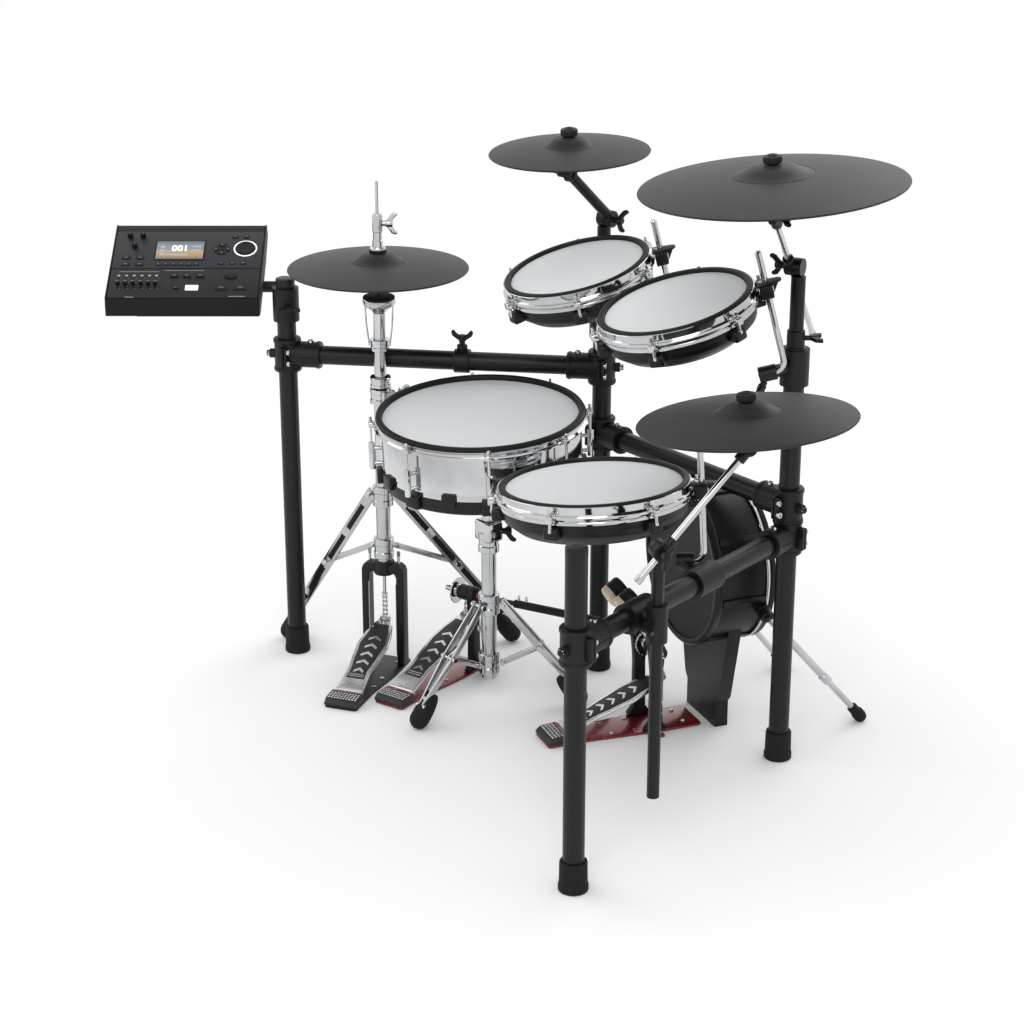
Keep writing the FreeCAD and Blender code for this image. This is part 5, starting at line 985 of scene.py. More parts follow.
def pedalBoard(long):
    # alloy board with a black inlay, raised grip chevrons and a toe clevis
    thick = pedalSet["thick"]
    top = thick / 2
    parts = [plate("boardAlloy", boardOutline(long), thick, 0.0018, 3, shift((0, 0, -top))),
             plate("boardBlack", boardOutline(long, 0.0068, 0.155, 0.90), 0.0010, 0.0004,
                   place=shift((0, 0, top - 0.0002)))]
    for share in (0.27, 0.38, 0.49, 0.60, 0.71):
        size = 0.0125 if share > 0.3 else 0.0100
        chevron = [(-0.0012, 0.0), (-0.0088, size), (-0.0030, size), (0.0056, 0.0),
                   (-0.0030, -size), (-0.0088, -size)]
        parts.append(plate("boardAlloy", chevron, 0.0006, 0.0002, 1,
                           shift((long * share, 0, top + 0.0007))))
    dot = lathe("boardAlloy", [(0.0013, 0), (0.0012, 0.0005), (0.0006, 0.0008)], 10)
    parts += copiedTo(dot, [shift((long * share, step * 0.0034, top + 0.0006))
                            for share in (0.180, 0.203) for step in range(-4, 5)])
    parts.append(bar("boardAlloy", (0, -0.027, 0), (0, 0.027, 0), 0.005, 24))
    for side in (-1, 1):
        parts.append(block("boardAlloy", (0.016, 0.0028, 0.012),
                           (long - 0.006, side * 0.0078, 0.005), 0.0012))
    pinAt = long - 0.004
    parts.append(bar("chrome", (pinAt, -0.0105, 0.007), (pinAt, 0.0105, 0.007), 0.0022, 14))
    pitch = Matrix.Rotation(math.radians(-pedalSet["pitch"]), 4, "Y")
    lift = shift((pedalSet["hingeAt"], 0, pedalSet["hingeZ"]))
    return [moved(part, lift @ pitch) for part in parts]


def pedalHeel():
    # black heel wedge with rows of bright studs and a red strip
    long, high, wide = pedalSet["heelLong"], pedalSet["heelHigh"], pedalSet["heelWide"]
    base, front, shoulder = pedalSet["base"], long / 4, high * 0.9
    side = [(0, base), (long, base), (long, high), (front, shoulder), (0, high / 2)]
    studSteps = [(0.0021, 0), (0.0020, 0.0008), (0.0013, 0.0015), (0.0004, 0.0017)]
    stud = lathe("boardAlloy", studSteps, 10)
    rows = [0.0105 + 0.0064 * row for row in range(4)]
    slope = (high - shoulder) / (long - front)
    studs = copiedTo(stud, [shift((x, -0.0270 + 0.0060 * step, shoulder + slope * (x - front)))
                            for x in rows for step in range(10)])
    strip = block("redPaint", (0.0062, wide - 0.006, 0.0012), (long - 0.0036, 0, high + 0.0004),
                  0.0004, 1)
    return [plate("boardBlack", side, wide, 0.0016, 3, upright(0, wide / 2, 0)), *studs, strip]


def pedalSole(long, finish):
    # base plate that widens to the toe, with its screws
    heel, toe, bend, corner = 0.033, 0.043, 0.040 + pedalSet["hingeAt"], 0.004
    half = [(corner, heel), (bend, heel), (long * 0.7, toe), (long - corner, toe),
            (long, toe - corner)]
    outline = [(x, -y) for x, y in half] + half[::-1] + [(0, heel - corner), (0, corner - heel)]
    head = lathe("chrome", [(0.0040, 0), (0.0040, 0.0012), (0.0030, 0.0022), (0.0016, 0.0022),
                            (0.0014, 0.0012)], 20)
    screws = copiedTo(head, [shift((long * share, side * 0.025, pedalSet["base"]))
                             for share in (0.42, 0.58, 0.9) for side in (-1, 1)])
    return [plate(finish, outline, pedalSet["base"], 0.0012), *screws]


def castColumn(x, side, high):
    # black casting that rises from a splayed foot to a round bearing head
    y, base, foot, halfThick = side * pedalSet["postHalf"], pedalSet["base"], 0.022, 0.0075
    half = [(foot, base), (foot, 0.010), (0.0125, 0.022), (0.0105, high - 0.050),
            (0.0135, high - 0.020)]
    outline = mirrored(half + arcOf(0.0160, range(-20, 81, 20), high))
    column = plate("castBlack", offset(outline, y=-base), halfThick * 2, 0.0020, 3,
                   upright(x, y + halfThick, base))
    cover = [(0.0060, 0), (0.0118, 0.0), (0.0126, 0.0010), (0.0126, 0.0022), (0.0112, 0.0034),
             (0.0060, 0.0034)]
    facing = placeAt((x, y + side * halfThick, high), (0, side, 0))
    return [column, lathe("castBlack", cover, 36, True, facing)]


def toothedCam():
    # chain cam: hub and toothed rim
    half = [(0.0130, 0.0016), (0.0130, 0.0040), (0.0120, 0.0050), (0.0055, 0.0050)]
    rim = [(0.0238, -0.0016), (0.0246, -0.001), (0.0246, 0.001), (0.0238, 0.0016)]
    hub = [(wide, -rise) for wide, rise in reversed(half)] + rim + half
    point = [(0.0240, -0.0016), (0.0262, -0.0006), (0.0262, 0.0006), (0.0240, 0.0016)]
    tooth = plate("chrome", point, 0.0028, 0.0003, 1, shift((0, 0, -0.0014)))
    parts = [lathe("chrome", hub, 72, True), *ringOf(tooth, 22)]
    return [moved(part, alongAxle) for part in parts]


def rollerChain(x, low, high):
    # links of waisted plates on rollers, hung straight
    count = int((high - low) / 0.009)
    pitch = (high - low) / count
    finish, eye, thick = "brushedSteel", 0.0026, 0.0012
    outline = arcOf(eye, range(0, 181, 30), pitch / 2) + [(-0.0017, 0)]
    outline += arcOf(eye, range(180, 361, 30), -pitch / 2) + [(0.0017, 0)]
    link = plate(finish, outline, thick, 0.0003, 1, upright(0, thick / 2, 0))
    spots = [(side * (0.0044 if number % 2 else 0.0030), low + pitch * (number + 0.5))
             for number in range(count) for side in (-1, 1)]
    parts = copiedTo(link, [shift((x, y, z)) for y, z in spots])
    for number in range(count + 1):
        z = min(max(low + pitch * number, low + 0.0024), high - 0.0024)
        parts.append(bar(finish, (x, -0.0052, z), (x, 0.0052, z), 0.0015, 12))
        parts.append(bar(finish, (x, -0.0022, z), (x, 0.0022, z), 0.0025, 16))
    return parts


def woundSpring(x, y, low, high):
    # close-wound coil between two hooks, each with its eye
    turns, wire, mean, hookLong, eyeWide = 15, 0.0015, 0.0050, 0.017, 0.0042
    deselectAll()
    bpy.ops.mesh.primitive_circle_add(vertices=8, radius=wire, location=(mean, 0, 0),
                                      rotation=(math.radians(90), 0, 0))
    coil = settled()
    pickOnly(coil)
    wind = coil.modifiers.new("wind", "SCREW")
    wind.axis = "Z"
    wind.angle = turns * 2 * math.pi
    wind.screw_offset = high - low - hookLong * 2
    wind.steps = wind.render_steps = turns * 20
    wind.use_merge_vertices = False
    bpy.ops.object.modifier_apply(modifier="wind")
    editAll()
    bpy.ops.mesh.fill_holes(sides=0)
    parts = [paint(facedOut(), "chrome", shift((x, y, low + hookLong)))]
    for end, way in ((low + hookLong, -1), (high - hookLong, 1)):
        hook = [(x + mean, y, end), (x + mean * 0.8, y, end + way * 0.004),
                (x, y, end + way * 0.006), (x, y, end + way * 0.0105)]
        parts.append(bentBar("chrome", hook, wire, 0.0025, 12))
        eye = [(x, y + across, end + way * (0.0143 - along))
               for along, across in arcOf(eyeWide, range(0, 331, 30))]
        parts.append(bentBar("chrome", eye, wire, 0.0009, 12))
    return parts


pedals = [
    {"name": "main", "place": mainPlace, "sole": 0.304, "board": 0.212, "finish": "redPaint"},
    {"name": "slave", "place": slavePlace, "sole": 0.262, "board": 0.228, "finish": "redPaint"},
    {"name": "hihat", "place": hatPedalPlace, "sole": 0.2552, "board": 0.204,
     "finish": "castBlack"},
]
soleParts, heelParts = [], []
for pedal in pedals:
    place, name = pedal["place"], pedal["name"]
    soleParts += [moved(part, place) for part in pedalSole(pedal["sole"], pedal["finish"])]
    heelParts += [moved(part, place) for part in pedalHeel()]
    dress(name + "Board", pedalBoard(pedal["board"]), name + "_board",
          [name + "_footboard"], place)

# main pedal: two columns, two beaters on one axle line, two springs
mainAxle = Vector((0.210, 0, 0.165))
leanBack = shift(mainAxle) @ Matrix.Rotation(math.radians(-32), 4, "Y")


def beaterParts(side):
    # rod in its clamp block, black head with a felt back, and the lever of its spring
    y, top, lever = side * pedalSet["beaterAt"], pedalSet["beaterHigh"], side * pedalSet["lever"]
    head = [(0.0030, -0.001), (0.0225, -0.001), (0.0230, 0.001), (0.0230, 0.0080), (0.0222, 0.0092),
            (0.0222, 0.0104), (0.0230, 0.0116), (0.0230, 0.0200), (0.0205, 0.0245),
            (0.0150, 0.0260), (0.0030, 0.0260)]
    felt = [(0.0030, -0.0140), (0.0160, -0.0138), (0.0200, -0.0118), (0.0212, -0.0080),
            (0.0214, -0.0010), (0.0030, -0.0010)]
    crank = chamferRing(0.0056, 0.0130, -0.0030, 0.0030, 0.0005, 0.0006)
    facing = placeAt((0, y, top), (1, 0, 0))
    pinFrom, pinTo = (0, side * 0.0595, -0.0085), (0, side * 0.0515, -0.0085)
    return [bar("chrome", (0, y, -0.016), (0, y, top), 0.0035, 20),
            block("castBlack", (0.016, 0.013, 0.026), (0, y, 0.004), 0.003, 3),
            lathe("rimRubber", head, 64, place=facing), lathe("creamFelt", felt, 64, place=facing),
            lathe("castBlack", crank, 40, True, placeAt((0, lever, 0), acrossY)),
            bar("chrome", pinFrom, pinTo, 0.0024, 14)]


def axleBar(finish, start, end, radius, turns):
    return bar(finish, (0, start, 0), (0, end, 0), radius, turns)


rightParts = beaterParts(-1) + toothedCam()
rightParts += [axleBar("chrome", -0.0585, -0.005, pedalSet["axle"], 28),
               axleBar("castBlack", -0.0300, -0.0052, 0.0110, 6)]
beaterPlace = mainPlace @ leanBack
dress("rightBeater", rightParts, "right_beater", ["right_beater"], beaterPlace)
yoke = chamferRing(0.0030, 0.0100, 0.0640, 0.0740, 0.001, 0.001)
leftParts = beaterParts(1)
leftParts += [axleBar("chrome", 0.0054, 0.074, pedalSet["axle"], 28),
              axleBar("castBlack", 0.0056, 0.0300, 0.0110, 6),
              lathe("redPaint", yoke, 32, place=alongAxle)]
dress("leftBeater", leftParts, "left_beater", ["left_beater"], beaterPlace)
threadSteps = [(0.0026, 0.004)]
for number in range(20):
    threadSteps += [(0.0030, 0.006 + number * 0.0021), (0.0025, 0.007 + number * 0.0021)]
springParts, columnParts, rodParts = [], [], []
for side in (-1, 1):
    lever = side * pedalSet["lever"]
    springParts += woundSpring(mainAxle.x, lever, 0.052, 0.150)
    columnParts += castColumn(mainAxle.x, side, mainAxle.z)
    rod = [lathe("chrome", threadSteps, 16),
           bar("chrome", (0, 0, 0.044), (0, 0, 0.0495), 0.0062, 6),
           bar("chrome", (0, 0, 0.005), (0, 0, 0.011), 0.0062, 6)]
    rodParts += [moved(part, shift((mainAxle.x, lever, 0))) for part in rod]
    soleParts.append(block("redPaint", (0.018, 0.022, 0.005), (mainAxle.x, side * 0.0535, 0.0025),
                           0.0012, place=mainPlace))
frameParts = [moved(part, mainPlace) for part in columnParts + rodParts]
dress("pedalSprings", springParts, "stand", ["pedal_springs"], mainPlace)

# slave pedal: one column, its cam and the shaft to the main pedal
slaveAxle = Vector((0.225, 0, 0.163))
hubSteps = chamferRing(0.0062, 0.0150, 0, 0.022, 0.001, 0.001)
hubPlace = placeAt((slaveAxle.x, -0.030, slaveAxle.z), acrossY)
columnParts = castColumn(slaveAxle.x, -1, slaveAxle.z)
columnParts.append(lathe("castBlack", hubSteps, 40, True, hubPlace))
frameParts += [moved(part, slavePlace) for part in columnParts]
shaftSet = {"slaveEnd": -0.060, "mainEnd": 0.074, "gap": 0.0015, "sleeveGap": 0.0012,
            "sleeve": 0.034, "coverHalf": 0.090}
camYoke = chamferRing(0.0056, 0.0100, 0, 0.0100, 0.0008, 0.0008)
camParts = toothedCam()
camParts += [axleBar("chrome", shaftSet["slaveEnd"], 0.027, pedalSet["axle"], 28),
             lathe("redPaint", camYoke, 32, True, placeAt((0, shaftSet["slaveEnd"], 0), acrossY))]
dress("slaveCam", camParts, "cam", ["slave_cam"], slavePlace @ shift(slaveAxle))
shaftFrom = slavePlace @ Vector((slaveAxle.x, shaftSet["slaveEnd"], slaveAxle.z))
shaftTo = mainPlace @ Vector((mainAxle.x, shaftSet["mainEnd"], mainAxle.z))
shaftRun = (shaftTo - shaftFrom).normalized()
shaftMid = (shaftFrom + shaftTo) / 2
gap, cover = shaftRun * shaftSet["gap"], shaftRun * shaftSet["coverHalf"]
inner, outer = shaftRun * shaftSet["sleeveGap"], shaftRun * shaftSet["sleeve"]
shaftParts = [bar("satinBlack", shaftFrom + gap, shaftTo - gap, 0.0048, 24),
              bar("satinBlack", shaftMid - cover, shaftMid + cover, 0.0080, 28, 0.0012),
              bar("redPaint", shaftFrom + inner, shaftFrom + outer, 0.0075, 28, 0.002),
              bar("redPaint", shaftTo - outer, shaftTo - inner, 0.0075, 28, 0.002)]
for step in (-0.080, -0.064):
    spot = shaftMid + shaftRun * step
    shaftParts += barStack("chrome", *spot, [(0, 0.016, 0.0024, 14), (0.013, 0.018, 0.0034, 4)])
dress("driveShaft", shaftParts, "shaft", ["drive_shaft"])

# hi-hat pedal: yoke over the board, with two key screws on its top bar
hatPost, yokeThick = 0.2292, 0.026
yokeHalf = [(0.0245, 0.196), (0.0285, 0.188), (0.0285, 0.005), (0.0435, 0.005), (0.0435, 0.200),
            (0.0400, 0.209), (0.0330, 0.214)]
collarSteps = chamferRing(0.0142, 0.0200, 0.192, 0.218, 0.001, 0.001)
yokeParts = [plate("castBlack", mirrored(yokeHalf, 4), yokeThick, 0.0022, 3,
                   sideways(hatPost - yokeThick / 2)),
             lathe("castBlack", collarSteps, 40, True, shift((hatPost, 0, 0)))]
for side in (-1, 1):
    yokeParts += barStack("chrome", hatPost, side * 0.030, 0,
                          [(0.212, 0.232, 0.0028, 14), (0.230, 0.240, 0.0038, 4)])
    guideAt = (hatPost - 0.0125, side * 0.0285, 0.100)
    yokeParts.append(block("brushedSteel", (0.003, 0.0012, 0.150), guideAt, 0.0005, 1))
dress("hatYoke", yokeParts, "stand", ["hihat_pedal_frame"], hatPedalPlace)


def boardTop(x):
    pitch = math.radians(pedalSet["pitch"])
    rise = (x - pedalSet["hingeAt"]) * math.tan(pitch)
    return pedalSet["hingeZ"] + rise + pedalSet["thick"] / 2 / math.cos(pitch)


def hangChain(name, place, x, high, replaced=()):
    # chain hung straight from the frame down to a board's toe
    low = boardTop(x + 0.005) + 0.0003
    piece = finished(name, rollerChain(x, low, high), place)
    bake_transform(piece)
    if replaced:
        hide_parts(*replaced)


camReach = pedalSet["sprocket"] + 0.0028
hangChain("mainChain", mainPlace, mainAxle.x + camReach, mainAxle.z,
          ["pedal_chains"])
hangChain("slaveChain", slavePlace, slaveAxle.x + camReach, slaveAxle.z)
hangChain("hatChain", hatPedalPlace, hatPost, 0.1497)
dress("pedalBases", soleParts, "stand", ["pedal_bases"])
dress("pedalFrames", heelParts + frameParts, "stand", ["pedal_frames"])
print("pedals made")

# sound module: sloped case, panel in two levels, keys, faders, knobs, dial and screen
soundModule = {"at": (-0.663, -0.322, 0.775), "scale": 0.9, "normal": (0.357, -0.282, 0.890),
               "across": (0.62, 0.785, 0), "wide": 0.326, "slope": 0.238, "back": 0.030,
               "deep": 0.046, "panelThick": 0.003, "pivot": 0.074, "lipY": -0.13675,
               "lipZ": -0.0347}
panelPlace = placeAt(soundModule["at"], soundModule["normal"], soundModule["across"])
modulePlace = panelPlace @ Matrix.Scale(soundModule["scale"], 4)
wide, slope, deep = soundModule["wide"], soundModule["slope"], soundModule["deep"]
screenSet = {"at": (0.445, 0.355), "size": (0.101, 0.057, 0.0008), "halfPicture": 0.026}


def onPanel(across, down, rise=0.0):
    return Vector((wide * (across - 0.5), slope * (0.5 - down), rise))


def panelBlock(finish, across, down, size, rise, edge, segments=1):
    # small block at shares of the panel's width and slope
    return block(finish, size, onPanel(across, down, rise), edge, segments)


def panelStrip(finish, left, right, top, bottom, low, high, edge=0.0008):
    # raised area of the panel between shares of its width and slope
    corner, far = onPanel(left, top, low), onPanel(right, bottom, high)
    size = (far.x - corner.x, corner.y - far.y, high - low)
    return block(finish, size, (corner + far) / 2, edge)


def moduleDress(name, pieces, body, node, place=modulePlace):
    dress(name, pieces, body, [node], place)


def panelGlow(name, colour, strength):
    tree, shader = newMaterial(name, colour, 0.35)
    shader.inputs["Emission Color"].default_value = (*colour, 1.0)
    shader.inputs["Emission Strength"].default_value = strength
    varyRoughness(tree, shader, objectNoise(tree, 60.0), 0.3, 0.4)


def screenPicture():
    # plain picture on the screen: grey-blue sky band that fades to amber below
    tree, shader = newMaterial("screenPicture", (0.2, 0.2, 0.2), 0.25, coat=0.3)
    local = kitCoords(tree, Location=modulePlace.to_translation(), Rotation=modulePlace.to_euler(),
                      Scale=[soundModule["scale"]] * 3)
    local.vector_type = "TEXTURE"
    parts = addNode(tree, "ShaderNodeSeparateXYZ")
    wireUp(tree, local, "Vector", parts, "Vector")
    middle, half = onPanel(*screenSet["at"]).y, screenSet["halfPicture"]
    height = addNode(tree, "ShaderNodeMapRange",
                     {"From Min": middle - half, "From Max": middle + half})
    wireUp(tree, parts, "Y", height, "Value")
    ramp = colourRamp(tree, [(0.0, (0.16, 0.12, 0.09)), (0.18, (0.32, 0.19, 0.09)),
                             (0.42, (0.36, 0.24, 0.13)), (0.52, (0.17, 0.19, 0.21)),
                             (0.80, (0.15, 0.18, 0.21)), (1.0, (0.08, 0.09, 0.11))])
    wireUp(tree, height, "Result", ramp, "Fac")
    wireUp(tree, ramp, "Color", shader, "Base Color")
    wireUp(tree, ramp, "Color", shader, "Emission Color")
    shader.inputs["Emission Strength"].default_value = 0.42


screenPicture()
panelGlow("ringGlow", (0.92, 0.93, 0.98), 0.55)
panelGlow("keyGlow", (0.85, 0.90, 1.0), 0.75)
panelGlow("digitGlow", (0.95, 0.96, 1.0), 0.8)
grainedFinish("panelGrey", (0.0220, 0.0232, 0.0268), (0.0290, 0.0305, 0.0350), (0.40, 0.52),
              2600.0, 0.15, specular=0.28)
grainedFinish("panelDark", (0.0095, 0.0098, 0.0110), (0.0140, 0.0144, 0.0160), (0.42, 0.55),
              2600.0, 0.15, specular=0.28)
grainedFinish("keyBlack", (0.0030, 0.0030, 0.0034), (0.0052, 0.0052, 0.0056), (0.40, 0.55),
              2000.0, 0.12, specular=0.28)
grainedFinish("markGrey", (0.36, 0.37, 0.39), (0.46, 0.47, 0.49), (0.5, 0.6), 2000.0, 0.02)

halfSlope, lipY, panelLow = slope / 2, soundModule["lipY"], -soundModule["panelThick"]
profile = [(-halfSlope, panelLow), (halfSlope, panelLow), (halfSlope, -soundModule["back"]),
           (halfSlope / 3, -deep), (lipY * 0.85, -deep), (lipY, soundModule["lipZ"])]
caseParts = [plate("casePlastic", profile, wide, 0.0022, 3, sideways(-wide / 2))]
# side cheeks stand a little proud of the panel, with a shallow foot rail under the front
for side in (-1, 1):
    cheekAt = (side * (wide / 2 - 0.0018), 0, -0.0028)
    caseParts.append(block("casePlastic", (0.0035, slope - 0.002, 0.006), cheekAt, 0.0012))
railAt = (wide * 0.09, lipY * 0.80, -deep - 0.002)
caseParts.append(block("casePlastic", (wide * 0.80, 0.020, 0.008), railAt, 0.0015))
bracketLow = -soundModule["pivot"] - 0.018
bracketSize = (0.060, 0.040, -deep - bracketLow)
caseParts.append(block("castBlack", bracketSize, (0, 0, (bracketLow - deep) / 2), 0.004, 3))
flange = [(0.0113, 0), (0.0180, 0.0), (0.0190, 0.001), (0.0190, 0.006), (0.0175, 0.0075),
          (0.0113, 0.0075)]
for side in (-1, 1):
    flangePlace = placeAt((side * bracketSize[0] / 2, 0, -soundModule["pivot"]), (side, 0, 0))
    caseParts.append(lathe("castBlack", flange, 40, True, flangePlace))
caseParts.append(wingBolt((0, 0, bracketLow), (0, 0, -1)))
# row of sockets along the back edge
socketSteps = [(0.0042, 0.0012), (0.0042, 0.0002), (0.0034, 0.0), (0.0034, 0.0022),
               (0.0060, 0.0022), (0.0064, 0.0016), (0.0064, 0.0)]
for number in range(9):
    socketPlace = placeAt((-0.128 + 0.032 * number, halfSlope, -0.0165), (0, 1, 0))
    caseParts.append(lathe("keyBlack", socketSteps, 24, place=socketPlace))
moduleDress("moduleCase", caseParts, "module", "module_case")

panelEdge, markEdge = 0.013, 0.00005
panelParts = [panelStrip(finish, panelEdge, 1 - panelEdge, top, bottom, panelLow, rise)
              for finish, top, bottom, rise in (("panelDark", 0.012, 0.092, -0.0004),
                                                ("panelGrey", 0.096, 0.594, 0.0),
                                                ("panelDark", 0.598, 0.986, -0.0008))]
panelParts.append(panelStrip("keyBlack", 0.277, 0.613, 0.215, 0.495, -0.001, 0.0007, 0.0005))
dialAt, padAt = shift(onPanel(0.875, 0.335)), shift(onPanel(0.72, 0.34))
dialRing = [(0.0222, 0.0001), (0.0222, 0.0010), (0.0232, 0.0016), (0.0244, 0.0016),
            (0.0252, 0.0009), (0.0252, 0.0001)]
dialWell = [(0.0206, -0.0004), (0.0206, 0.0008), (0.0218, 0.0008), (0.0220, -0.0004)]
panelParts += [lathe("ringGlow", dialRing, 96, True, dialAt),
               lathe("keyBlack", dialWell, 96, True, dialAt)]
faderShares, faderDown = (0.07, 0.12, 0.17, 0.22, 0.27, 0.315), 0.80
for share in faderShares:
    panelParts.append(panelBlock("keyBlack", share, faderDown, (0.0036, 0.040, 0.0006), -0.0007,
                                 0.0003))
    panelParts.append(panelBlock("markGrey", share, 0.695, (0.0056, 0.0044, 0.0012), -0.0006,
                                 0.0004))
    for tick in range(5):
        panelParts.append(panelBlock("markGrey", share + 0.017, 0.735 + 0.0325 * tick,
                                     (0.0022, 0.0006, 0.0002), -0.0007, 0.0001))
# fine printed rules and small marks, with no words
for left, right, down, tall in ((0.36, 0.62, 0.625, 0.0035), (0.07, 0.33, 0.640, 0.0035),
                                (0.80, 0.905, 0.965, 0.006), (0.13, 0.185, 0.975, 0.006)):
    panelParts.append(panelStrip("markGrey", left, right, down, down + tall, -0.0008, -0.0006,
                                 markEdge))
moduleDress("modulePanel", panelParts, "module", "module_panel")

screenAt = onPanel(*screenSet["at"])
glass = panelBlock("screenPicture", *screenSet["at"], screenSet["size"], 0.0008, 0.0003)
deselectAll()
bpy.ops.object.text_add(location=(0, 0, 0))
digits = bpy.context.object.data
digits.body = "001"
digits.size = 0.024
digits.align_x = "CENTER"
digits.extrude = 0.0001
digits.offset = 0.0006
bpy.ops.object.convert(target="MESH")
digitPlace = shift((screenAt.x, screenAt.y - 0.003, 0.0013))
screenParts = [glass, paint(bpy.context.object, "digitGlow", digitPlace)]
for left, right, down, tall in ((0.315, 0.345, 0.30, 0.030), (0.315, 0.345, 0.35, 0.030),
                                (0.315, 0.345, 0.40, 0.030), (0.36, 0.50, 0.412, 0.022),
                                (0.525, 0.585, 0.30, 0.020), (0.525, 0.585, 0.35, 0.020)):
    screenParts.append(panelStrip("markGrey", left, right, down, down + tall, 0.0012, 0.00135,
                                  markEdge))
moduleDress("moduleScreen", screenParts, "module", "module_screen")

# keys stand on the panel and reach a little into it
keySunk = 0.0017
keyGroups = [
    {"wide": 0.012, "tall": 0.0066, "high": 0.0022,
     "at": [(0.315 + 0.05 * number, 0.55) for number in range(6)]
     + [(0.80, 0.175), (0.875, 0.175), (0.725, 0.535), (0.80, 0.535), (0.87, 0.535), (0.45, 0.86)]},
    {"wide": 0.018, "tall": 0.0088, "high": 0.0022,
     "at": [(0.10, 0.46), (0.19, 0.46), (0.10, 0.55), (0.19, 0.55), (0.43, 0.70), (0.515, 0.70),
            (0.60, 0.70)]},
    {"wide": 0.028, "tall": 0.0150, "high": 0.0012, "at": [(0.745, 0.855), (0.87, 0.855)]},
]
keyParts = []
for group in keyGroups:
    high = group["high"]
    for across, down in group["at"]:
        keyParts.append(panelBlock("keyBlack", across, down,
                                   (group["wide"], group["tall"], high + keySunk),
                                   (high - keySunk) / 2, 0.0012, 3))
        keyParts.append(panelBlock("markGrey", across, down, (group["wide"] * 0.42, 0.0009, 0.0001),
                                   high + 0.00002, 0.00003))
keyParts.append(panelBlock("keyGlow", 0.555, 0.86, (0.0275, 0.0145, 0.0039), 0.00025, 0.0015, 3))
ovalAt = onPanel(0.80, 0.70)
oval = [(0.0142 * math.cos(turn * math.pi / 20), 0.0092 * math.sin(turn * math.pi / 20))
        for turn in range(40)]
keyParts.append(plate("keyBlack", offset(oval, ovalAt.x, ovalAt.y), 0.0038, 0.0012, 3,
                      shift((0, 0, -keySunk))))
petalOutline = arcOf(0.0180, range(-36, 37, 6)) + arcOf(0.0078, range(34, -35, -17))
arrow = [(0.0145, 0.0), (0.0118, 0.0016), (0.0118, -0.0016)]
petal = joined([plate("keyBlack", petalOutline, 0.0038, 0.0010, 3, shift((0, 0, -keySunk))),
                plate("markGrey", arrow, 0.0001, 0, place=shift((0, 0, 0.0021)))])
keyParts += [moved(part, padAt) for part in ringOf(petal, 4)]
middleKey = [(0.0046, -keySunk), (0.0046, 0.0010), (0.0038, 0.0019), (0.0008, 0.0021)]
keyParts.append(lathe("keyBlack", middleKey, 32, place=padAt))
moduleDress("moduleKeys", keyParts, "keys", "module_keys")

# each fader's stem, cap and line as finish, size, rise, edge and segments
faderForm = [("keyBlack", (0.0022, 0.008, 0.004), 0.0005, 0.0004, 1),
             ("keyBlack", (0.0088, 0.0110, 0.0072), 0.0045, 0.0016, 3),
             ("markGrey", (0.0072, 0.0008, 0.0002), 0.00812, markEdge, 1)]
faderParts = []
for share in faderShares:
    for finish, size, rise, edge, segments in faderForm:
        faderParts.append(panelBlock(finish, share, faderDown, size, rise, edge, segments))
moduleDress("moduleFaders", faderParts, "faders", "module_faders")


def grippedKnob(radius, high, ribs):
    # ribbed knob with a pointer line
    steps = [(radius * 1.06, 0.0003), (radius * 1.06, 0.0016), (radius, 0.0022),
             (radius * 0.93, high - 0.0012), (radius * 0.86, high), (radius * 0.50, high),
             (radius * 0.44, high - 0.0003), (radius * 0.04, high - 0.0003)]
    rib = block("keyBlack", (0.0008, radius * 0.09, high - 0.0045),
                (radius * 0.97, 0, high / 2 + 0.0006), 0.0002, 1)
    line = block("markGrey", (0.0008, radius * 0.8, 0.0002), (0, radius * 0.45, high + 0.0001),
                 markEdge, 1)
    return [lathe("keyBlack", steps, 48), *ringOf(rib, ribs), line]


for knobName, across, down in (("left", 0.105, 0.18), ("right", 0.19, 0.18), ("low", 0.145, 0.32)):
    moduleDress("moduleKnob" + knobName.capitalize(), grippedKnob(0.0056, 0.0118, 24),
                "knob_" + knobName, "module_knob_" + knobName,
                modulePlace @ shift(onPanel(across, down)))
dialSteps = [(0.0196, 0.0003), (0.0200, 0.0008), (0.0200, 0.0034), (0.0186, 0.0048),
             (0.0165, 0.0050), (0.0120, 0.0038), (0.0060, 0.0030), (0.0010, 0.0028)]
dimple = [(0.0040, 0.0044), (0.0046, 0.0048), (0.0052, 0.0044), (0.0046, 0.0036)]
ridge = block("keyBlack", (0.0008, 0.0009, 0.0026), (0.0200, 0, 0.0022), 0.0002, 1)
dialParts = [lathe("keyBlack", dialSteps, 96), *ringOf(ridge, 72),
             lathe("panelGrey", dimple, 32, True, shift((0.0115, 0, 0)))]
moduleDress("moduleDial", dialParts, "dial", "module_dial", modulePlace @ dialAt)
print("sound module made")

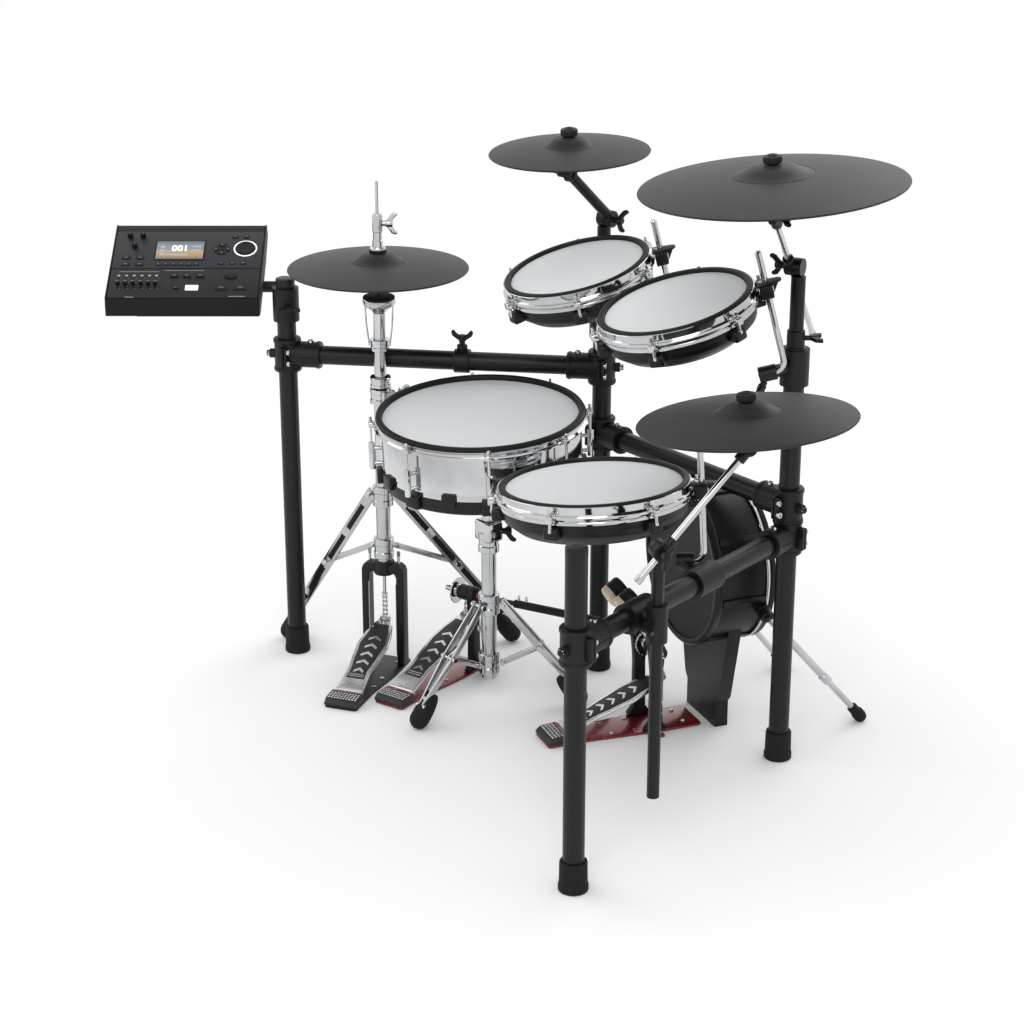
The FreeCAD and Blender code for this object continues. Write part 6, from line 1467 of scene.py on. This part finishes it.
# rack: tubes with capped ends, flanged rubber feet, bolted clamps
tubeEnds = {"left": ((-0.468, -0.225), 0.766), "middle": ((-0.031, 0.192), 0.745),
            "right": ((0.472, 0.192), 0.773), "rear": ((0.611, -0.404), 0.597)}
footSteps = [(0.0180, 0.0125), (0.0020, 0.0120), (0.0020, 0.0), (0.0235, 0.0), (0.0250, 0.0015),
             (0.0250, 0.0105), (0.0240, 0.0125), (0.0236, 0.0145), (0.0230, 0.0500),
             (0.0222, 0.0525), (0.0205, 0.0530), (0.0183, 0.0530)]
capSteps = [(0.0180, -0.0165), (0.01775, -0.0162), (0.01775, -0.0156), (0.0182, -0.0152),
            (0.0182, -0.0030), (0.0174, -0.0010), (0.0155, 0.0), (0.0030, 0.0)]
uprights, feet = [], []
for spot, top in tubeEnds.values():
    tubeSteps = [(0.0170, 0.0130), (0.0180, 0.0140)] + offset(capSteps, y=top)
    place = shift(atHeight(spot, 0))
    uprights.append(lathe("satinBlack", tubeSteps, 64, place=place))
    feet.append(lathe("footRubber", footSteps, 64, place=place))
dress("rackUprights", uprights, "stand", ["rack_uprights"])
dress("rubberFeet", feet + tipParts, "stand", ["rubber_feet"])
upZ = Vector((0, 0, 1))
clampSet = {"radius": 0.025, "long": 0.064, "armRing": 0.061, "armBolt": 0.046, "backBolt": 0.0335}


def boltHead(at, out):
    # socket-head screw with a recessed hexagon
    steps = [(0.0056, 0.0), (0.0056, 0.0044), (0.0050, 0.0050), (0.0031, 0.0050), (0.0029, 0.0022),
             (0.0004, 0.0022)]
    return lathe("chrome", steps, 24, place=placeAt(at, out))


def splitBand(post, away):
    # raised end bands of a clamp sleeve and its split line with two bolted ears
    radius, length = clampSet["radius"], clampSet["long"]
    band = chamferRing(radius - 0.0006, radius + 0.0016, -0.0035, 0.0035, 0.0007, 0.0010)
    parts = [lathe("castBlack", band, 56, True, placeAt(post + upZ * end * (length / 2 - 0.0045)))
             for end in (-1, 1)]
    side = upZ.cross(away)
    for face in (-1, 1):
        spot = post + away * (radius + 0.0045) + side * face * 0.0036
        parts.append(block("castBlack", (0.0055, 0.014, length * 0.62), (0, 0, 0), 0.0016,
                           place=placeAt(spot, upZ, side)))
    for rise in (-0.17, 0.17):
        spot = post + away * (radius + 0.0055) + upZ * length * rise
        parts.append(boltHead(spot + side * 0.0062, side))
    return parts


def armClamp(post, other):
    # dressing of one clamp where a crossbar leaves its post
    run = (other - post).normalized()
    across = Vector((run.y, -run.x, 0))
    outward = across if across.dot(Vector((1, -1, 0))) > 0 else -across
    ring = [(0.0244, -0.004), (0.0262, -0.003), (0.0266, 0.0), (0.0262, 0.003), (0.0244, 0.004)]
    arm = post + run * clampSet["armBolt"]
    return [*splitBand(post, outward),
            lathe("castBlack", ring, 56, True, placeAt(post + run * clampSet["armRing"], run)),
            block("footRubber", (0.0016, 0.034, 0.0012), (0, 0, 0), 0.0003, 1,
                  placeAt(arm + outward * 0.0252, outward, upZ)),
            boltHead(arm + upZ * 0.0245, upZ), boltHead(post - run * clampSet["backBolt"], -run)]


clampParts = []
crossbars = [("left", "middle", 0.617), ("middle", "right", 0.487), ("right", "rear", 0.430)]
for first, second, height in crossbars:
    a, b = atHeight(tubeEnds[first][0], height), atHeight(tubeEnds[second][0], height)
    clampParts += armClamp(a, b) + armClamp(b, a)
# wing bolts under the ends of the tom arms
for spot in ((0.472, 0.122, 0.7242), (0.146, 0.191, 0.6937)):
    clampParts.append(wingBolt(spot, (-0.25, -0.30, -0.92), 60))
# small accessory clamp part way along the left bar
first, second, height = crossbars[0]
leftEnd, rightEnd = atHeight(tubeEnds[first][0], height), atHeight(tubeEnds[second][0], height)
spot = leftEnd.lerp(rightEnd, 0.56)
bandSteps = chamferRing(0.0181, 0.0228, -0.015, 0.015, 0.0013, 0.0015)
clampParts += [lathe("castBlack", bandSteps, 48, True, placeAt(spot, rightEnd - leftEnd)),
               block("castBlack", (0.016, 0.016, 0.014), spot + upZ * 0.026, 0.003),
               wingBolt(spot + upZ * 0.032, upZ, 40)]
dress("clampDetail", clampParts, "stand")
print("rack made")

# floor, backdrop and soft light
floorSize = {"half": 30.0, "drop": 0.0005, "colour": (0.94, 0.94, 0.94), "fadeFrom": 1.7,
             "fadeTo": 4.0}


def seenRays(tree):
    # one where the camera, a reflection or a clear surface looks straight at the backdrop
    path = addNode(tree, "ShaderNodeLightPath")
    seen = path.outputs["Is Camera Ray"]
    for ray in ("Is Glossy Ray", "Is Transmission Ray"):
        either = addNode(tree, "ShaderNodeMath", operation="MAXIMUM")
        tree.links.new(seen, either.inputs[0])
        tree.links.new(path.outputs[ray], either.inputs[1])
        seen = either.outputs["Value"]
    return seen


def showEither(tree, factor, first, second, output):
    # output takes the first shader, or the second where the factor is one
    mix = addNode(tree, "ShaderNodeMixShader")
    tree.links.new(factor, mix.inputs["Fac"])
    tree.links.new(first, mix.inputs[1])
    tree.links.new(second, mix.inputs[2])
    wireUp(tree, mix, "Shader", output, "Surface")


deselectAll()
bpy.ops.mesh.primitive_plane_add(size=floorSize["half"] * 2, location=(0, 0, -floorSize["drop"]))
studioFloor = bpy.context.object
studioFloor.name = "studioFloor"
floorTree, floorShader = newMaterial("floorPaint", floorSize["colour"], 0.9, specular=0.0)
studioFloor.data.materials.append(materialBook["floorPaint"])
floorCoords = addNode(floorTree, "ShaderNodeTexCoord")
floorReach = addNode(floorTree, "ShaderNodeVectorMath", operation="LENGTH")
floorFade = addNode(floorTree, "ShaderNodeMapRange", interpolation_type="SMOOTHSTEP")
floorFade.inputs["From Min"].default_value = floorSize["fadeFrom"]
floorFade.inputs["From Max"].default_value = floorSize["fadeTo"]
floorShow = addNode(floorTree, "ShaderNodeMath", operation="MULTIPLY")
floorWhite = addNode(floorTree, "ShaderNodeEmission")
wireUp(floorTree, floorCoords, "Object", floorReach, 0)
wireUp(floorTree, floorReach, "Value", floorFade, "Value")
wireUp(floorTree, floorFade, "Result", floorShow, 0)
floorTree.links.new(seenRays(floorTree), floorShow.inputs[1])
showEither(floorTree, floorShow.outputs["Value"], floorShader.outputs["BSDF"],
           floorWhite.outputs["Emission"], floorTree.nodes["Material Output"])

studioWorld = bpy.data.worlds.new("studioWorld")
scene.world = studioWorld
studioWorld.use_nodes = True
worldTree = studioWorld.node_tree
skyLight, skyShow = worldTree.nodes["Background"], addNode(worldTree, "ShaderNodeBackground")
for sky, strength in ((skyLight, 0.92), (skyShow, 1.0)):
    sky.inputs["Color"].default_value = (1, 1, 1, 1)
    sky.inputs["Strength"].default_value = strength
showEither(worldTree, seenRays(worldTree), skyLight.outputs["Background"],
           skyShow.outputs["Background"], worldTree.nodes["World Output"])

studioLamps = [
    {"name": "keyLamp", "at": (2.6, -2.6, 3.4), "size": 2.2, "power": 46},
    {"name": "fillLamp", "at": (-3.2, -2.0, 2.6), "size": 2.6, "power": 24},
    {"name": "backLamp", "at": (-0.6, 3.4, 3.0), "size": 2.6, "power": 34},
]
kitMiddle = Vector((0, 0, 0.5))
for lamp in studioLamps:
    light = bpy.data.lights.new(lamp["name"], "AREA")
    light.size = lamp["size"]
    light.energy = lamp["power"]
    lampObject = bpy.data.objects.new(lamp["name"], light)
    lampObject.location = lamp["at"]
    aim = kitMiddle - Vector(lamp["at"])
    lampObject.rotation_euler = aim.to_track_quat("-Z", "Y").to_euler()
    scene.collection.objects.link(lampObject)

cameraSet = {"at": (3.164, -2.545, 1.897), "turn": 51.72, "down": 20.50, "lens": 82.12,
             "sensor": 36.0, "far": 60}
cameraData = bpy.data.cameras.new("photoCamera")
cameraData.lens = cameraSet["lens"]
cameraData.sensor_width = cameraSet["sensor"]
cameraData.clip_end = cameraSet["far"]
photoCamera = bpy.data.objects.new("photoCamera", cameraData)
photoCamera.location = cameraSet["at"]
photoCamera.rotation_euler = (math.radians(90 - cameraSet["down"]), 0,
                              math.radians(cameraSet["turn"]))
scene.collection.objects.link(photoCamera)
scene.camera = photoCamera
print("camera and light ready")
